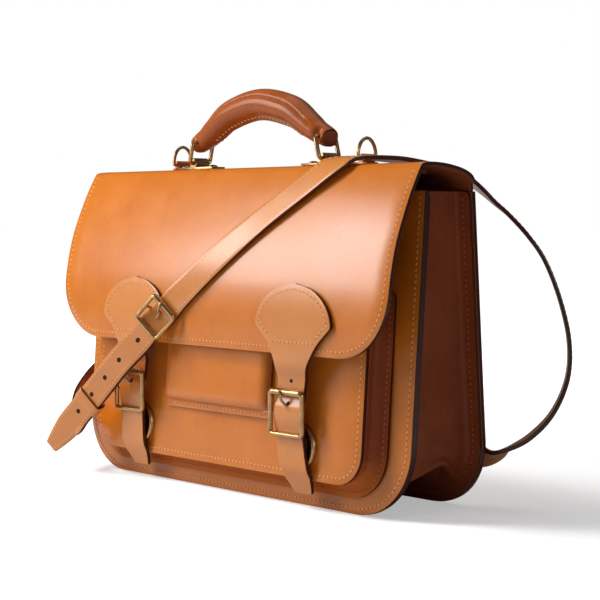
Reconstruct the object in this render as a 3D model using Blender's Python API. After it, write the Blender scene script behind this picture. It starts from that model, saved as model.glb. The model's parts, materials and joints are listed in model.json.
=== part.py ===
"""Leather satchel briefcase: wedge body, flap with two buckled straps, rolled handle, shoulder strap.

Metres, +Z up, front towards -Y. The origin is the middle of the front panel's bottom edge.
All sizes below are millimetres; MM turns them into metres when a mesh is written.
"""
import math

import bmesh
import bpy
from mathutils import Vector

MM = 0.001

# Fits
GAP = 0.3
PIN_CLEARANCE = 0.6

# Body
WIDTH = 380.0
DEPTH = 83.0
PANEL_HEIGHT = 232.0
PANEL_THICKNESS = 4.0
PANEL_CORNER = 50.0
LEAN = 0.073
GUSSET_THICKNESS = 2.5
GUSSET_FLANGE = 13.0
GUSSET_FOLD = 14.0

# Front pocket
POCKET_WIDTH = 316.0
POCKET_BOTTOM = 22.5
POCKET_TOP = 160.0
POCKET_CORNER = 24.0
POCKET_DEPTH = 17.0
POCKET_THICKNESS = 3.0
POCKET_GUSSET_THICKNESS = 2.0
POCKET_FLANGE = 8.0
POCKET_FOLD = 3.5
SLIP_WIDTH = 122.0
SLIP_BOTTOM = 63.0
SLIP_TOP = 130.0
SLIP_BULGE = 5.0
SLIP_EDGE = 2.0

# Flap
FLAP_WIDTH = 384.0
FLAP_THICKNESS = 3.0
FLAP_CORNER = 48.0
# From the hinge over the top to the front edge: (y, height above the panels' top edge)
FLAP_PROFILE = [
    (66.5, 7.0), (62.0, 12.5), (50.0, 17.0), (30.0, 20.0), (12.0, 19.5), (6.5, 14.0),
    (-4.0, -6.0), (-15.5, -34.0), (-22.0, -61.0), (-25.0, -89.0), (-25.0, -118.0),
]
FLAP_OUTLINE = [(y, PANEL_HEIGHT + rise) for y, rise in FLAP_PROFILE]
FLAP_BOTTOM = FLAP_OUTLINE[-1][1]
HINGE_Y = 68.0
HINGE_Z = PANEL_HEIGHT + 6.0
STIFFENER_WIDTH = 330.0
STIFFENER_THICKNESS = 2.5
STIFFENER_BACK = 48.0
STIFFENER_FRONT = 16.0

# Handle and its fittings
HANDLE_Y = 31.0
PLATE_X = 77.0
PLATE_LENGTH = 48.0
PLATE_WIDTH = 14.0
PLATE_THICKNESS = 1.8
PLATE_TOP_Z = PANEL_HEIGHT + 22.4
RIVET_SPACING = 34.0
RIVET_HEAD = 4.0
RIVET_SHANK = 1.6
RING_WIRE = 2.0
RING_HALF_WIDTH = 10.5
RING_REACH = 17.7
RING_LEAN = 15.0
BARREL_WALL = 1.8
RING_PIVOT_Z = PLATE_TOP_Z + RING_WIRE + PIN_CLEARANCE + 0.6
RIVET_STACK = PLATE_THICKNESS + FLAP_THICKNESS + STIFFENER_THICKNESS + 2 * GAP + 1.4
HANDLE_RISE = 26.0
HANDLE_END_WIDTH = 15.6
HANDLE_WIDTH = 24.0
HANDLE_HEIGHT = 22.5
HANDLE_END_HEIGHT = 13.0
HANDLE_OVERHANG = 8.0

# Carry rings behind the handle plates
D_X = 109.0
D_Y = 39.0
D_WIRE = 1.5
D_HALF_WIDTH = 9.5
D_HEIGHT = 15.0
D_TAB_LENGTH = 11.0
D_TAB_WIDTH = 13.0
D_TAB_BASE = 1.8
D_PIVOT_Z = PLATE_TOP_Z + D_WIRE + PIN_CLEARANCE + 0.6

# Flap straps, their buckles and the clasps behind them
STRAP_X = 96.0
STRAP_WIDTH = 28.0
STRAP_THICKNESS = 3.0
BELL_WIDTH = 76.0
BELL_TOP = FLAP_BOTTOM + 51.0
BUCKLE_Y = -26.0
BUCKLE_WIDTH = 38.0
BUCKLE_DROP = 63.0
BUCKLE_BOTTOM = FLAP_BOTTOM - BUCKLE_DROP
STRAP_TAIL = 39.0
STRAP_TIP = BUCKLE_BOTTOM - STRAP_TAIL
BUCKLE_HEIGHT = 35.0
BUCKLE_THICKNESS = 3.0
BUCKLE_SIDE = 4.0
BUCKLE_TOP_BAR = 6.0
BUCKLE_BOTTOM_BAR = 4.0
CENTRE_BAR = 3.0
PRONG_WIRE = 1.0
SLOT_WIDTH = 4.4
CATCH_DROP = 5.0
CATCH_Z = BUCKLE_BOTTOM - CATCH_DROP
CATCH_RADIUS = 17.0
CATCH_DEPTH = 2.2
CLASP_RADIUS = 11.0
CLASP_DEPTH = 1.6
CENTRE_BAR_Z = BUCKLE_BOTTOM + BUCKLE_HEIGHT / 2
STRAP_BEHIND = BUCKLE_Y + BUCKLE_THICKNESS / 2 + GAP + STRAP_THICKNESS / 2
STRAP_OVER = BUCKLE_Y - CENTRE_BAR / 2 - STRAP_THICKNESS / 2 - 0.9

# Shoulder strap: slantwise over the flap, a free loop on the right, across the back, round the left
SHOULDER_WIDTH = 22.0
SHOULDER_THICKNESS = 3.2
SHOULDER_JOIN = 2.5
SHOULDER_BUCKLE_X = -59.0
SHOULDER_KEEPER_X = -134.0
SHOULDER_TAPER_X = -166.0
SHOULDER_TIP_X = -190.0
# The strap's middle on the flap: (x, distance along the flap outline from the hinge)
SHOULDER_ROUTE = [(158.0, 11.4), (120.0, 53.6), (-90.0, 208.4), (SHOULDER_TIP_X, 295.4)]
# Height of the strap's middle over the flap: (x, lift), for its upper run and for the run under it
UPPER_LIFT = [(158, 2.9), (80, 2.9), (30, 2.5), (-30, 2.0), (-50, 2.0), (-57, 13.9), (-61, 13.9), (-69, 8.9),
              (-134, 9.0), (-190, 11.5)]
RETURN_LIFT = [(-63, 5.2), (-134, 5.2), (-165, 5.4)]
SHOULDER_FRAME = 33.0
SHOULDER_FRAME_WIDTH = 31.0
SHOULDER_FRAME_SIDE = 3.5
SHOULDER_FRAME_BAR = 5.0
SHOULDER_FRAME_THICKNESS = 3.4
SHOULDER_FRAME_LIFT = 9.8
SHOULDER_FRAME_TILT = 14.0
KEEPER_WIDTH = 11.0
KEEPER_WALL = 1.6
KEEPER_LIFT = 7.1
# Middle of the free loop, and how far its width has turned flat to the back panel
LOOP_SIDE = Vector((0.72, -0.69, 0.0))
LOOP_POINTS = [
    ((166.0, 68.5, 247.0), 0.0), ((175.0, 76.5, 241.0), 0.0), ((184.1, 82.5, 232.5), 0.0),
    ((191.4, 88.0, 223.9), 0.0), ((200.0, 93.5, 215.1), 0.0), ((212.4, 100.0, 200.0), 0.0),
    ((222.5, 107.0, 182.0), 0.0), ((231.3, 113.5, 154.0), 0.0), ((236.2, 118.0, 124.0), 0.0),
    ((234.8, 118.0, 96.6), 0.0), ((226.9, 111.0, 71.4), 0.0), ((213.1, 102.0, 53.6), 0.0),
    ((196.1, 95.5, 43.3), 0.12), ((184.0, 93.6, 38.8), 0.42), ((168.0, 90.2, 37.6), 0.92),
]
BACK_START = Vector((148.0, 0.0, 38.5))
BACK_END = Vector((-176.0, 0.0, 104.0))
# Middle and facing of the strap on its way round the left side
RETURN_TURN = [
    ((-201.0, 78.0, 107.0), (-0.6, 0.8, 0.0)), ((-208.0, 50.0, 103.0), (-1.0, 0.0, 0.0)),
    ((-208.0, 10.0, 88.0), (-1.0, 0.0, 0.0)), ((-203.0, -18.0, 62.0), (-0.9, -0.4, 0.0)),
    ((-184.0, -28.5, 43.0), (-0.3, -1.0, 0.0)),
]

LEATHER = ((0.70, 0.26, 0.055), 0.42, 0.0)
LEATHER_DARK = ((0.30, 0.09, 0.025), 0.55, 0.0)
BRASS = ((0.60, 0.47, 0.22), 0.28, 1.0)


def clear_scene():
    for item in list(bpy.data.objects):
        bpy.data.objects.remove(item, do_unlink=True)


def material(name, look):
    colour, roughness, metallic = look
    mat = bpy.data.materials.new(name)
    mat.use_nodes = True
    shader = mat.node_tree.nodes["Principled BSDF"]
    shader.inputs["Base Color"].default_value = (*colour, 1.0)
    shader.inputs["Roughness"].default_value = roughness
    shader.inputs["Metallic"].default_value = metallic
    return mat


def add_object(name, bm, look, origin=(0.0, 0.0, 0.0)):
    """Write a bmesh in millimetres as a named object whose origin sits at origin."""
    bmesh.ops.recalc_face_normals(bm, faces=bm.faces)
    for vert in bm.verts:
        vert.co = (vert.co - Vector(origin)) * MM
    mesh = bpy.data.meshes.new(name)
    bm.to_mesh(mesh)
    bm.free()
    obj = bpy.data.objects.new(name, mesh)
    obj.location = Vector(origin) * MM
    bpy.context.collection.objects.link(obj)
    mesh.materials.append(material(name + "_material", look))
    return obj


def loft_mesh(sections, closed=False):
    """Join equal-length sections into one closed skin; a closed loft has no end caps."""
    bm = bmesh.new()
    rings = [[bm.verts.new(point) for point in section] for section in sections]
    pairs = list(zip(rings, rings[1:]))
    if closed:
        pairs.append((rings[-1], rings[0]))
    else:
        bm.faces.new(rings[0])
        bm.faces.new(rings[-1][::-1])
    for first, second in pairs:
        count = len(first)
        for i in range(count):
            j = (i + 1) % count
            bm.faces.new((first[i], second[i], second[j], first[j]))
    bm.normal_update()
    bmesh.ops.triangulate(bm, faces=bm.faces)
    return bm


def spline(points, steps):
    """Catmull-Rom curve through points of any dimension."""
    vectors = [Vector(p) for p in points]
    padded = [2 * vectors[0] - vectors[1]] + vectors + [2 * vectors[-1] - vectors[-2]]
    result = []
    for a, b, c, d in zip(padded, padded[1:], padded[2:], padded[3:]):
        for k in range(steps):
            t = k / steps
            result.append(0.5 * (2 * b + (c - a) * t + (2 * a - 5 * b + 4 * c - d) * t * t
                                 + (3 * b - a - 3 * c + d) * t ** 3))
    return result + [vectors[-1]]


def band_sections(stations):
    """Four corners per station: (centre, side, normal, width, thickness)."""
    sections = []
    for centre, side, normal, width, thickness in stations:
        across = side.normalized() * (width / 2)
        through = normal.normalized() * (thickness / 2)
        sections.append([centre - across - through, centre + across - through,
                         centre + across + through, centre - across + through])
    return sections


def path_tangents(points):
    ends = zip([points[0]] + points[:-1], points[1:] + [points[-1]])
    return [(after - before).normalized() for before, after in ends]


def strip(name, centres, normals, widths, thickness, look, origin=(0, 0, 0)):
    """Flat strap along centres, lying square to normals."""
    stations = []
    for centre, tangent, normal, width in zip(centres, path_tangents(centres), normals, widths):
        side = tangent.cross(normal)
        stations.append((centre, side, side.cross(tangent), width, thickness))
    return add_object(name, loft_mesh(band_sections(stations)), look, origin)


def wire_mesh(points, radius, closed=False, sides=8):
    """Round wire along a path that lies in one plane."""
    if closed:
        spokes = zip(points[-1:] + points[:-1], points[1:] + points[:1])
        tangents = [(after - before).normalized() for before, after in spokes]
    else:
        tangents = path_tangents(points)
    plane = Vector((0, 0, 0))
    for first, second in zip(tangents, tangents[1:]):
        plane += first.cross(second)
    plane.normalize()
    sections = []
    for point, tangent in zip(points, tangents):
        outward = tangent.cross(plane).normalized()
        ring = []
        for k in range(sides):
            angle = 2 * math.pi * (k + 0.5) / sides
            ring.append(point + radius * (math.cos(angle) * outward + math.sin(angle) * plane))
        sections.append(ring)
    return loft_mesh(sections, closed)


def revolve_mesh(profile, centre, axis, sides=20):
    """Closed turned solid: profile is (along, radius) pairs, ends capped."""
    axis = Vector(axis).normalized()
    across = axis.orthogonal().normalized()
    other = axis.cross(across)
    sections = []
    for along, radius in profile:
        ring = []
        for k in range(sides):
            angle = 2 * math.pi * (k + 0.5) / sides
            ring.append(Vector(centre) + axis * along
                        + radius * (math.cos(angle) * across + math.sin(angle) * other))
        sections.append(ring)
    return loft_mesh(sections)


def cut(obj, cutter_mesh, label):
    """Subtract a solid with a Boolean and keep the cutter out of the render."""
    cutter = add_object(obj.name + "_" + label, cutter_mesh, LEATHER_DARK)
    cutter.hide_render = True
    cutter.display_type = "WIRE"
    bpy.context.view_layer.update()
    modifier = obj.modifiers.new(label, "BOOLEAN")
    modifier.operation = "DIFFERENCE"
    modifier.solver = "EXACT"
    modifier.object = cutter
    bpy.context.view_layer.update()
    depsgraph = bpy.context.evaluated_depsgraph_get()
    fresh = bpy.data.meshes.new_from_object(obj.evaluated_get(depsgraph))
    obj.modifiers.clear()
    obj.data = fresh
    bpy.data.objects.remove(cutter, do_unlink=True)


def box_mesh(centre, size):
    bm = bmesh.new()
    bmesh.ops.create_cube(bm, size=1.0)
    for vert in bm.verts:
        vert.co = Vector(centre) + Vector([c * s for c, s in zip(vert.co, size)])
    return bm


def front_outer(z):
    return LEAN * z - PANEL_THICKNESS / 2


def front_inner(z):
    return LEAN * z + PANEL_THICKNESS / 2


def back_inner(z):
    return DEPTH - PANEL_THICKNESS / 2 - LEAN * z


def back_outer(z):
    return DEPTH + PANEL_THICKNESS / 2 - LEAN * z


def pocket_outer(z):
    return front_outer(z) - POCKET_DEPTH


def pocket_inner(z):
    return pocket_outer(z) + POCKET_THICKNESS


def corner_width(width, radius, height):
    """Full width of a panel at a height above its bottom edge with rounded corners."""
    if height >= radius:
        return width
    return width - 2 * (radius - math.sqrt(radius ** 2 - (radius - height) ** 2))


def rounded_heights(bottom, top, radius, steps=7):
    """Heights that follow the corner arc and then jump to the top."""
    turns = [math.pi / 2 * k / steps for k in range(steps + 1)]
    return [bottom + radius * (1 - math.cos(turn)) for turn in turns] + [top]


def upright_panel(name, width, bottom, top, radius, centre_y, thickness, look):
    """Leaning sheet with rounded bottom corners; its bottom edge stays flat."""
    stations = []
    for z in rounded_heights(bottom, top, radius):
        centre = Vector((0, centre_y(z), z))
        stations.append((centre, Vector((1, 0, 0)), Vector((0, 1, 0)),
                         corner_width(width, radius, z - bottom), thickness))
    return add_object(name, loft_mesh(band_sections(stations)), look)


def u_path(half_width, bottom, top, radius, steps=6):
    """Points down the left, round the bottom and up the right, each with its inward normal."""
    left, inner = -half_width, -half_width + radius
    path = [(Vector((left, 0, top)), Vector((1, 0, 0)))]
    for k in range(steps + 1):
        turn = math.pi / 2 * k / steps
        inward = Vector((math.cos(turn), 0, math.sin(turn)))
        path.append((Vector((inner, 0, bottom + radius)) - radius * inward, inward))
    mirrored = [(Vector((-p.x, 0, p.z)), Vector((-n.x, 0, n.z))) for p, n in reversed(path)]
    return path + mirrored


def make_panels():
    upright_panel("front_panel", WIDTH, 0, PANEL_HEIGHT, PANEL_CORNER,
                  lambda z: LEAN * z, PANEL_THICKNESS, LEATHER)
    upright_panel("back_panel", WIDTH, 0, PANEL_HEIGHT, PANEL_CORNER,
                  lambda z: DEPTH - LEAN * z, PANEL_THICKNESS, LEATHER)
    upright_panel("pocket_panel", POCKET_WIDTH, POCKET_BOTTOM, POCKET_TOP, POCKET_CORNER,
                  lambda z: (pocket_outer(z) + pocket_inner(z)) / 2, POCKET_THICKNESS, LEATHER)


def make_main_gusset():
    """Folded strip between the panels, its flanges turned outward against their inner faces."""
    sections = []
    half = GUSSET_THICKNESS / 2
    for point, inward in u_path(WIDTH / 2, 0, PANEL_HEIGHT, PANEL_CORNER):
        def place(depth, side):
            spot = point + inward * depth
            front = front_inner(spot.z) + GAP
            back = back_inner(spot.z) - GAP
            levels = {"f": front, "ff": front + GUSSET_THICKNESS, "m": (front + back) / 2,
                      "bb": back - GUSSET_THICKNESS, "b": back}
            return Vector((spot.x, levels[side], spot.z))
        deep = GUSSET_FLANGE + GUSSET_FOLD
        sections.append([
            place(0.5, "f"), place(GUSSET_FLANGE + half, "f"), place(deep + half, "m"),
            place(GUSSET_FLANGE + half, "b"), place(0.5, "b"), place(0.5, "bb"),
            place(GUSSET_FLANGE - half, "bb"), place(deep - half, "m"),
            place(GUSSET_FLANGE - half, "ff"), place(0.5, "ff")])
    add_object("main_gusset", loft_mesh(sections), LEATHER_DARK)


def make_pocket_gusset():
    """Z-section: flange out on the front panel, folded web, flange in behind the pocket."""
    sections = []
    wall = POCKET_GUSSET_THICKNESS
    for point, inward in u_path(POCKET_WIDTH / 2, POCKET_BOTTOM, POCKET_TOP, POCKET_CORNER):
        def place(depth, side):
            spot = point + inward * depth
            back = front_outer(spot.z) - GAP
            front = pocket_inner(spot.z) + GAP
            levels = {"b": back, "bb": back - wall, "m": (front + back) / 2,
                      "ff": front + wall, "f": front}
            return Vector((spot.x, levels[side], spot.z))
        sections.append([
            place(-POCKET_FLANGE, "bb"), place(0, "bb"), place(POCKET_FOLD, "m"),
            place(0.5, "f"), place(POCKET_FLANGE, "f"), place(POCKET_FLANGE, "ff"),
            place(wall + 0.5, "ff"), place(POCKET_FOLD + wall, "m"), place(wall, "b"),
            place(-POCKET_FLANGE, "b")])
    add_object("pocket_gusset", loft_mesh(sections), LEATHER_DARK)


def make_slip_pocket():
    """Bulged patch sewn on the pocket between the two straps."""
    sections = []
    for k in range(11):
        across = -1 + 2 * k / 10
        bulge = SLIP_EDGE + SLIP_BULGE * max(0.0, 1 - across ** 4)
        section = []
        for z, share in ((SLIP_BOTTOM, 0.0), (SLIP_BOTTOM + 8, 0.7), (95.0, 1.0), (SLIP_TOP, 0.8)):
            depth = SLIP_EDGE + (bulge - SLIP_EDGE) * share
            section.append(Vector((across * SLIP_WIDTH / 2, pocket_outer(z) - GAP - depth, z)))
        for z in (SLIP_TOP, SLIP_BOTTOM):
            section.append(Vector((across * SLIP_WIDTH / 2, pocket_outer(z) - GAP, z)))
        sections.append(section)
    add_object("slip_pocket", loft_mesh(sections), LEATHER)


def flap_curve():
    """Outer outline of the flap from its hinge to its front edge, with outward normals."""
    points = [Vector((0, p.x, p.y)) for p in spline([Vector(p) for p in FLAP_OUTLINE], 3)]
    normals = [Vector((1, 0, 0)).cross(t) * -1 for t in path_tangents(points)]
    return points, normals


def flap_place(along, lift):
    """Point and normal at a distance along the flap outline; past its edge it hangs straight."""
    points, normals = flap_curve()
    run = 0.0
    for first, second, n1, n2 in zip(points, points[1:], normals, normals[1:]):
        length = (second - first).length
        if run + length >= along:
            share = (along - run) / length
            normal = n1.lerp(n2, share).normalized()
            return first.lerp(second, share) + normal * lift, normal
        run += length
    return points[-1] + Vector((0, 0, run - along)) + normals[-1] * lift, normals[-1]


def flap_length():
    points, _ = flap_curve()
    return sum((b - a).length for a, b in zip(points, points[1:]))


def make_flap():
    points, normals = flap_curve()
    total = flap_length()
    stations = []
    run = 0.0
    heights = []
    for i, point in enumerate(points):
        if i:
            run += (point - points[i - 1]).length
        heights.append(total - run)
    for point, normal, height in zip(points, normals, heights):
        if height > FLAP_CORNER:
            centre = point - normal * FLAP_THICKNESS / 2
            stations.append((centre, Vector((1, 0, 0)), normal, FLAP_WIDTH, FLAP_THICKNESS))
    for height in reversed(rounded_heights(0, 1, FLAP_CORNER)[:-1]):
        centre, normal = flap_place(total - height, -FLAP_THICKNESS / 2)
        width = corner_width(FLAP_WIDTH, FLAP_CORNER, height)
        stations.append((centre, Vector((1, 0, 0)), normal, width, FLAP_THICKNESS))
    return add_object("flap", loft_mesh(band_sections(stations)), LEATHER, (0, HINGE_Y, HINGE_Z))


def make_flap_bend():
    """Leather that bends between the back panel's top edge and the flap."""
    start, normal = flap_place(0, -FLAP_THICKNESS / 2)
    low = Vector((0, (back_inner(PANEL_HEIGHT) + back_outer(PANEL_HEIGHT)) / 2,
                  PANEL_HEIGHT + GAP))
    tangent = Vector((0, -normal.z, normal.y))
    high = start - tangent * GAP
    middle = (low + high) / 2 + Vector((0, 0.3, 0))
    stations = []
    for centre, across, thick in ((low, Vector((0, 1, 0)), PANEL_THICKNESS),
                                  (middle, Vector((0, 1, 0.3)), 3.5), (high, normal, FLAP_THICKNESS)):
        stations.append((centre, Vector((1, 0, 0)), across, WIDTH - 4, thick))
    add_object("flap_bend", loft_mesh(band_sections(stations)), LEATHER)


def make_top_stiffener():
    """Strip under the flap's top that the handle rivets clamp."""
    points, normals = flap_curve()
    centres, used = [], []
    for point, normal in zip(points, normals):
        if STIFFENER_FRONT <= point.y <= STIFFENER_BACK:
            centres.append(point - normal * (FLAP_THICKNESS + GAP + STIFFENER_THICKNESS / 2))
            used.append(normal)
    stations = [(c, Vector((1, 0, 0)), n, STIFFENER_WIDTH, STIFFENER_THICKNESS)
                for c, n in zip(centres, used)]
    return add_object("top_stiffener", loft_mesh(band_sections(stations)), LEATHER_DARK,
                      (0, HINGE_Y, HINGE_Z))


def plate_outline(length, thickness, barrel_radius, barrel_height, base):
    """Side view of a plate with a round barrel standing on its middle."""
    half = length / 2
    points = [(-half, base), (half, base), (half, base + thickness)]
    rise = math.asin(min(0.9, (base + thickness - barrel_height) / barrel_radius))
    for k in range(11):
        angle = rise + (math.pi - 2 * rise) * k / 10
        points.append((barrel_radius * math.cos(angle), barrel_height + barrel_radius * math.sin(angle)))
    points.append((-half, base + thickness))
    return points


def staple(name, x, y, width, outline, look):
    """Extrude a side view along Y."""
    sections = []
    for side in (-1, 1):
        sections.append([Vector((x + px, y + side * width / 2, pz)) for px, pz in outline])
    return add_object(name, loft_mesh(sections), look)


def pivot_bore(x, y, z, radius, length):
    return revolve_mesh([(-length, radius), (length, radius)], (x, y, z), (0, 1, 0), 12)


def ring_top(side):
    lean = math.radians(RING_LEAN)
    return Vector((side * (PLATE_X - RING_REACH * math.sin(lean)), HANDLE_Y,
                   RING_PIVOT_Z + RING_REACH * math.cos(lean)))


def rounded_loop(pivot, up, across, half_width, reach, corner, steps=3):
    """Rounded rectangle whose lower bar runs through pivot along across."""
    points = []
    corners = ((half_width, 0, 0), (half_width, reach, 90), (-half_width, reach, 180),
               (-half_width, 0, 270))
    for u, v, start in corners:
        cu = u - math.copysign(corner, u)
        cv = v + (corner if v == 0 else -corner)
        for k in range(steps + 1):
            angle = math.radians(start - 90 + 90 * k / steps)
            points.append(pivot + across * (cu + corner * math.cos(angle))
                          + up * (cv + corner * math.sin(angle)))
    return points


def make_handle_mount(side, flap, stiffener):
    word = "left" if side < 0 else "right"
    x = side * PLATE_X
    bottom = PLATE_TOP_Z - PLATE_THICKNESS
    outline = plate_outline(PLATE_LENGTH, PLATE_THICKNESS, RING_WIRE + PIN_CLEARANCE + BARREL_WALL,
                            RING_PIVOT_Z, bottom)
    plate = staple("handle_plate_" + word, x, HANDLE_Y, PLATE_WIDTH, outline, BRASS)
    bore = RING_WIRE + PIN_CLEARANCE
    cut(plate, pivot_bore(x, HANDLE_Y, RING_PIVOT_Z, bore, PLATE_WIDTH), "bore")
    lean = math.radians(RING_LEAN)
    up = Vector((-side * math.sin(lean), 0, math.cos(lean)))
    pivot = Vector((x, HANDLE_Y, RING_PIVOT_Z))
    loop = rounded_loop(pivot, up, Vector((0, 1, 0)), RING_HALF_WIDTH, RING_REACH, 3.0)
    add_object("handle_ring_" + word, wire_mesh(loop, RING_WIRE, True), BRASS, pivot)
    clamp = RIVET_STACK + GAP
    for number, shift in ((1, -RIVET_SPACING / 2), (2, RIVET_SPACING / 2)):
        centre = Vector((x + shift, HANDLE_Y, PLATE_TOP_Z + GAP))
        profile = [(-clamp - 1.2, RIVET_HEAD * 0.8), (-clamp, RIVET_HEAD * 0.8), (-clamp, RIVET_SHANK),
                   (0, RIVET_SHANK), (0, RIVET_HEAD), (1.0, RIVET_HEAD * 0.85), (1.7, RIVET_HEAD * 0.4)]
        add_object("handle_rivet_" + word + "_" + str(number),
                   revolve_mesh(profile, centre, (0, 0, 1), 12), BRASS)
        for target in (plate, flap, stiffener):
            hole = revolve_mesh([(-30, RIVET_SHANK + GAP), (10, RIVET_SHANK + GAP)], centre, (0, 0, 1), 12)
            cut(target, hole, "rivet_hole")


def make_handle():
    """Rolled grip that narrows to flat ends pierced by the rings' upper bars."""
    left, right = ring_top(-1), ring_top(1)
    half = right.x
    rise = HANDLE_RISE
    stations = []
    half_path = [(half + HANDLE_OVERHANG, 0.5, 0.55, 0.85), (half + HANDLE_OVERHANG * 0.7, 0.2, 0.95, 1.0),
                 (half, 0.0, 1.0, 1.0), (half - 7, 0.9, 1.02, 1.0), (half - 16, 5.0, None, None),
                 (half - 38, rise * 0.72, None, None), (0, rise, None, None)]
    for x, z, tall, wide in half_path:
        height = HANDLE_END_HEIGHT * tall if tall else HANDLE_HEIGHT
        width = HANDLE_END_WIDTH * wide if wide else HANDLE_WIDTH
        if tall is None and x > half - 20:
            height = (HANDLE_HEIGHT + HANDLE_END_HEIGHT) / 2
            width = (HANDLE_WIDTH + HANDLE_END_WIDTH) / 2
        stations.append((x, left.z + z, height / 2, width / 2))
    mirrored = [(-x, z, h, w) for x, z, h, w in stations]
    points = spline(mirrored + stations[-2::-1], 2)
    centres = [Vector((p[0], HANDLE_Y, p[1])) for p in points]
    sections = []
    for centre, tangent, p in zip(centres, path_tangents(centres), points):
        up = Vector((-tangent.z, 0, tangent.x))
        ring = []
        for k in range(14):
            angle = 2 * math.pi * k / 14
            ring.append(centre + up * p[2] * math.sin(angle) + Vector((0, p[3] * math.cos(angle), 0)))
        sections.append(ring)
    handle = add_object("handle", loft_mesh(sections), LEATHER, left)
    for end in (left, right):
        cut(handle, pivot_bore(end.x, end.y, end.z, RING_WIRE + PIN_CLEARANCE, 30), "ring_hole")


def make_d_ring(side):
    word = "left" if side < 0 else "right"
    x = side * D_X
    outline = plate_outline(D_TAB_LENGTH, D_TAB_BASE, D_WIRE + PIN_CLEARANCE + 1.4, D_PIVOT_Z,
                            PLATE_TOP_Z - D_TAB_BASE)
    tab = staple("d_ring_tab_" + word, x, D_Y, D_TAB_WIDTH, outline, LEATHER)
    bore = D_WIRE + PIN_CLEARANCE
    cut(tab, pivot_bore(x, D_Y, D_PIVOT_Z, bore, D_TAB_WIDTH), "bore")
    pivot = Vector((x, D_Y, D_PIVOT_Z))
    loop = [pivot + Vector((0, -D_HALF_WIDTH, 0)), pivot + Vector((0, 0, 0)),
            pivot + Vector((0, D_HALF_WIDTH, 0))]
    for k in range(1, 9):
        angle = math.pi * k / 9
        loop.append(pivot + Vector((0, D_HALF_WIDTH * math.cos(angle),
                                    3.0 + (D_HEIGHT - 3.0) * math.sin(angle))))
    add_object("d_ring_" + word, wire_mesh(loop, D_WIRE, True), BRASS, pivot)


def strap_width(z):
    """Bell on the flap, straight through the buckle, tapered tip."""
    neck = BUCKLE_BOTTOM + BUCKLE_HEIGHT + 4
    if z > neck:
        share = (z - neck) / (BELL_TOP - neck)
        belly = STRAP_WIDTH + (BELL_WIDTH - STRAP_WIDTH) * min(1.0, (share / 0.6) ** 2)
        crown = math.sqrt(max(0.02, 1 - max(0.0, (share - 0.6) / 0.4) ** 2))
        return belly * crown
    taper = STRAP_TIP + 14
    if z < taper:
        return STRAP_WIDTH * (0.62 + 0.38 * (z - STRAP_TIP) / (taper - STRAP_TIP))
    return STRAP_WIDTH


def flap_strap_path():
    """Strap middle line from the bell's top to the tip, woven through the buckle."""
    lift = STRAP_THICKNESS / 2 + GAP
    total = flap_length()
    bottom = FLAP_BOTTOM
    on_flap = []
    for share in (1.0, 0.97, 0.9, 0.78, 0.63, 0.43, 0.235, 0.0):
        centre, _ = flap_place(total - (BELL_TOP - bottom) * share * 1.012, lift)
        on_flap.append(centre)
    top = BUCKLE_BOTTOM + BUCKLE_HEIGHT
    edge = FLAP_OUTLINE[-1][0] - lift
    hang = [(edge + 1.0, bottom - 9), (STRAP_BEHIND - 1.2, top + 9), (STRAP_BEHIND, top + 1),
            (STRAP_BEHIND, top - BUCKLE_TOP_BAR - 1), (STRAP_OVER, CENTRE_BAR_Z + 2.2),
            (STRAP_OVER, CENTRE_BAR_Z - 2.2),
            (STRAP_BEHIND, BUCKLE_BOTTOM + BUCKLE_BOTTOM_BAR + 1.5), (STRAP_BEHIND, BUCKLE_BOTTOM - 3),
            (STRAP_BEHIND + 0.1, STRAP_TIP + 25), (STRAP_BEHIND + 1.0, STRAP_TIP + 14),
            (STRAP_BEHIND + 3.4, STRAP_TIP + 6),
            (STRAP_BEHIND + 5.6, STRAP_TIP)]
    return on_flap + [Vector((0, y, z)) for y, z in hang]


def make_flap_strap(side):
    word = "left" if side < 0 else "right"
    shift = Vector((side * STRAP_X, 0, 0))
    centres = [shift + p for p in flap_strap_path()]
    stations = []
    for centre, tangent in zip(centres, path_tangents(centres)):
        normal = Vector((1, 0, 0)).cross(tangent)
        stations.append((centre, Vector((1, 0, 0)), normal, strap_width(centre.z), STRAP_THICKNESS))
    strap = add_object("flap_strap_" + word, loft_mesh(band_sections(stations)), LEATHER)
    slot_top = CENTRE_BAR_Z + 8.5
    slot_bottom = CENTRE_BAR_Z - 6.5
    middle = shift + Vector((0, STRAP_OVER, (slot_top + slot_bottom) / 2))
    cut(strap, box_mesh(middle, (SLOT_WIDTH, 24, slot_top - slot_bottom)), "prong_slot")


def frame_mesh(width, height, side, top_bar, bottom_bar, centre_bar, thickness, place):
    """Flat frame with two windows; place(u, v, w) maps frame coordinates to the bag."""
    columns = [-width / 2, -width / 2 + side, width / 2 - side, width / 2]
    rows = [-height / 2, -height / 2 + bottom_bar, -centre_bar / 2, centre_bar / 2,
            height / 2 - top_bar, height / 2]
    bm = bmesh.new()
    grid = [[bm.verts.new((u, v, 0)) for u in columns] for v in rows]
    for j in range(len(rows) - 1):
        for i in range(len(columns) - 1):
            if i == 1 and j in (1, 3):
                continue
            bm.faces.new((grid[j][i], grid[j][i + 1], grid[j + 1][i + 1], grid[j + 1][i]))
    made = bmesh.ops.extrude_face_region(bm, geom=list(bm.faces))
    for item in made["geom"]:
        if isinstance(item, bmesh.types.BMVert):
            item.co.z = thickness
    for vert in bm.verts:
        bar = abs(vert.co.y) <= centre_bar / 2 + 0.01 and abs(vert.co.x) < width / 2 - side + 0.01
        w = vert.co.z - thickness / 2
        if bar:
            w = math.copysign(centre_bar / 2, w)
        vert.co = place(vert.co.x, vert.co.y, w)
    bm.normal_update()
    bmesh.ops.triangulate(bm, faces=bm.faces)
    return bm


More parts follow.
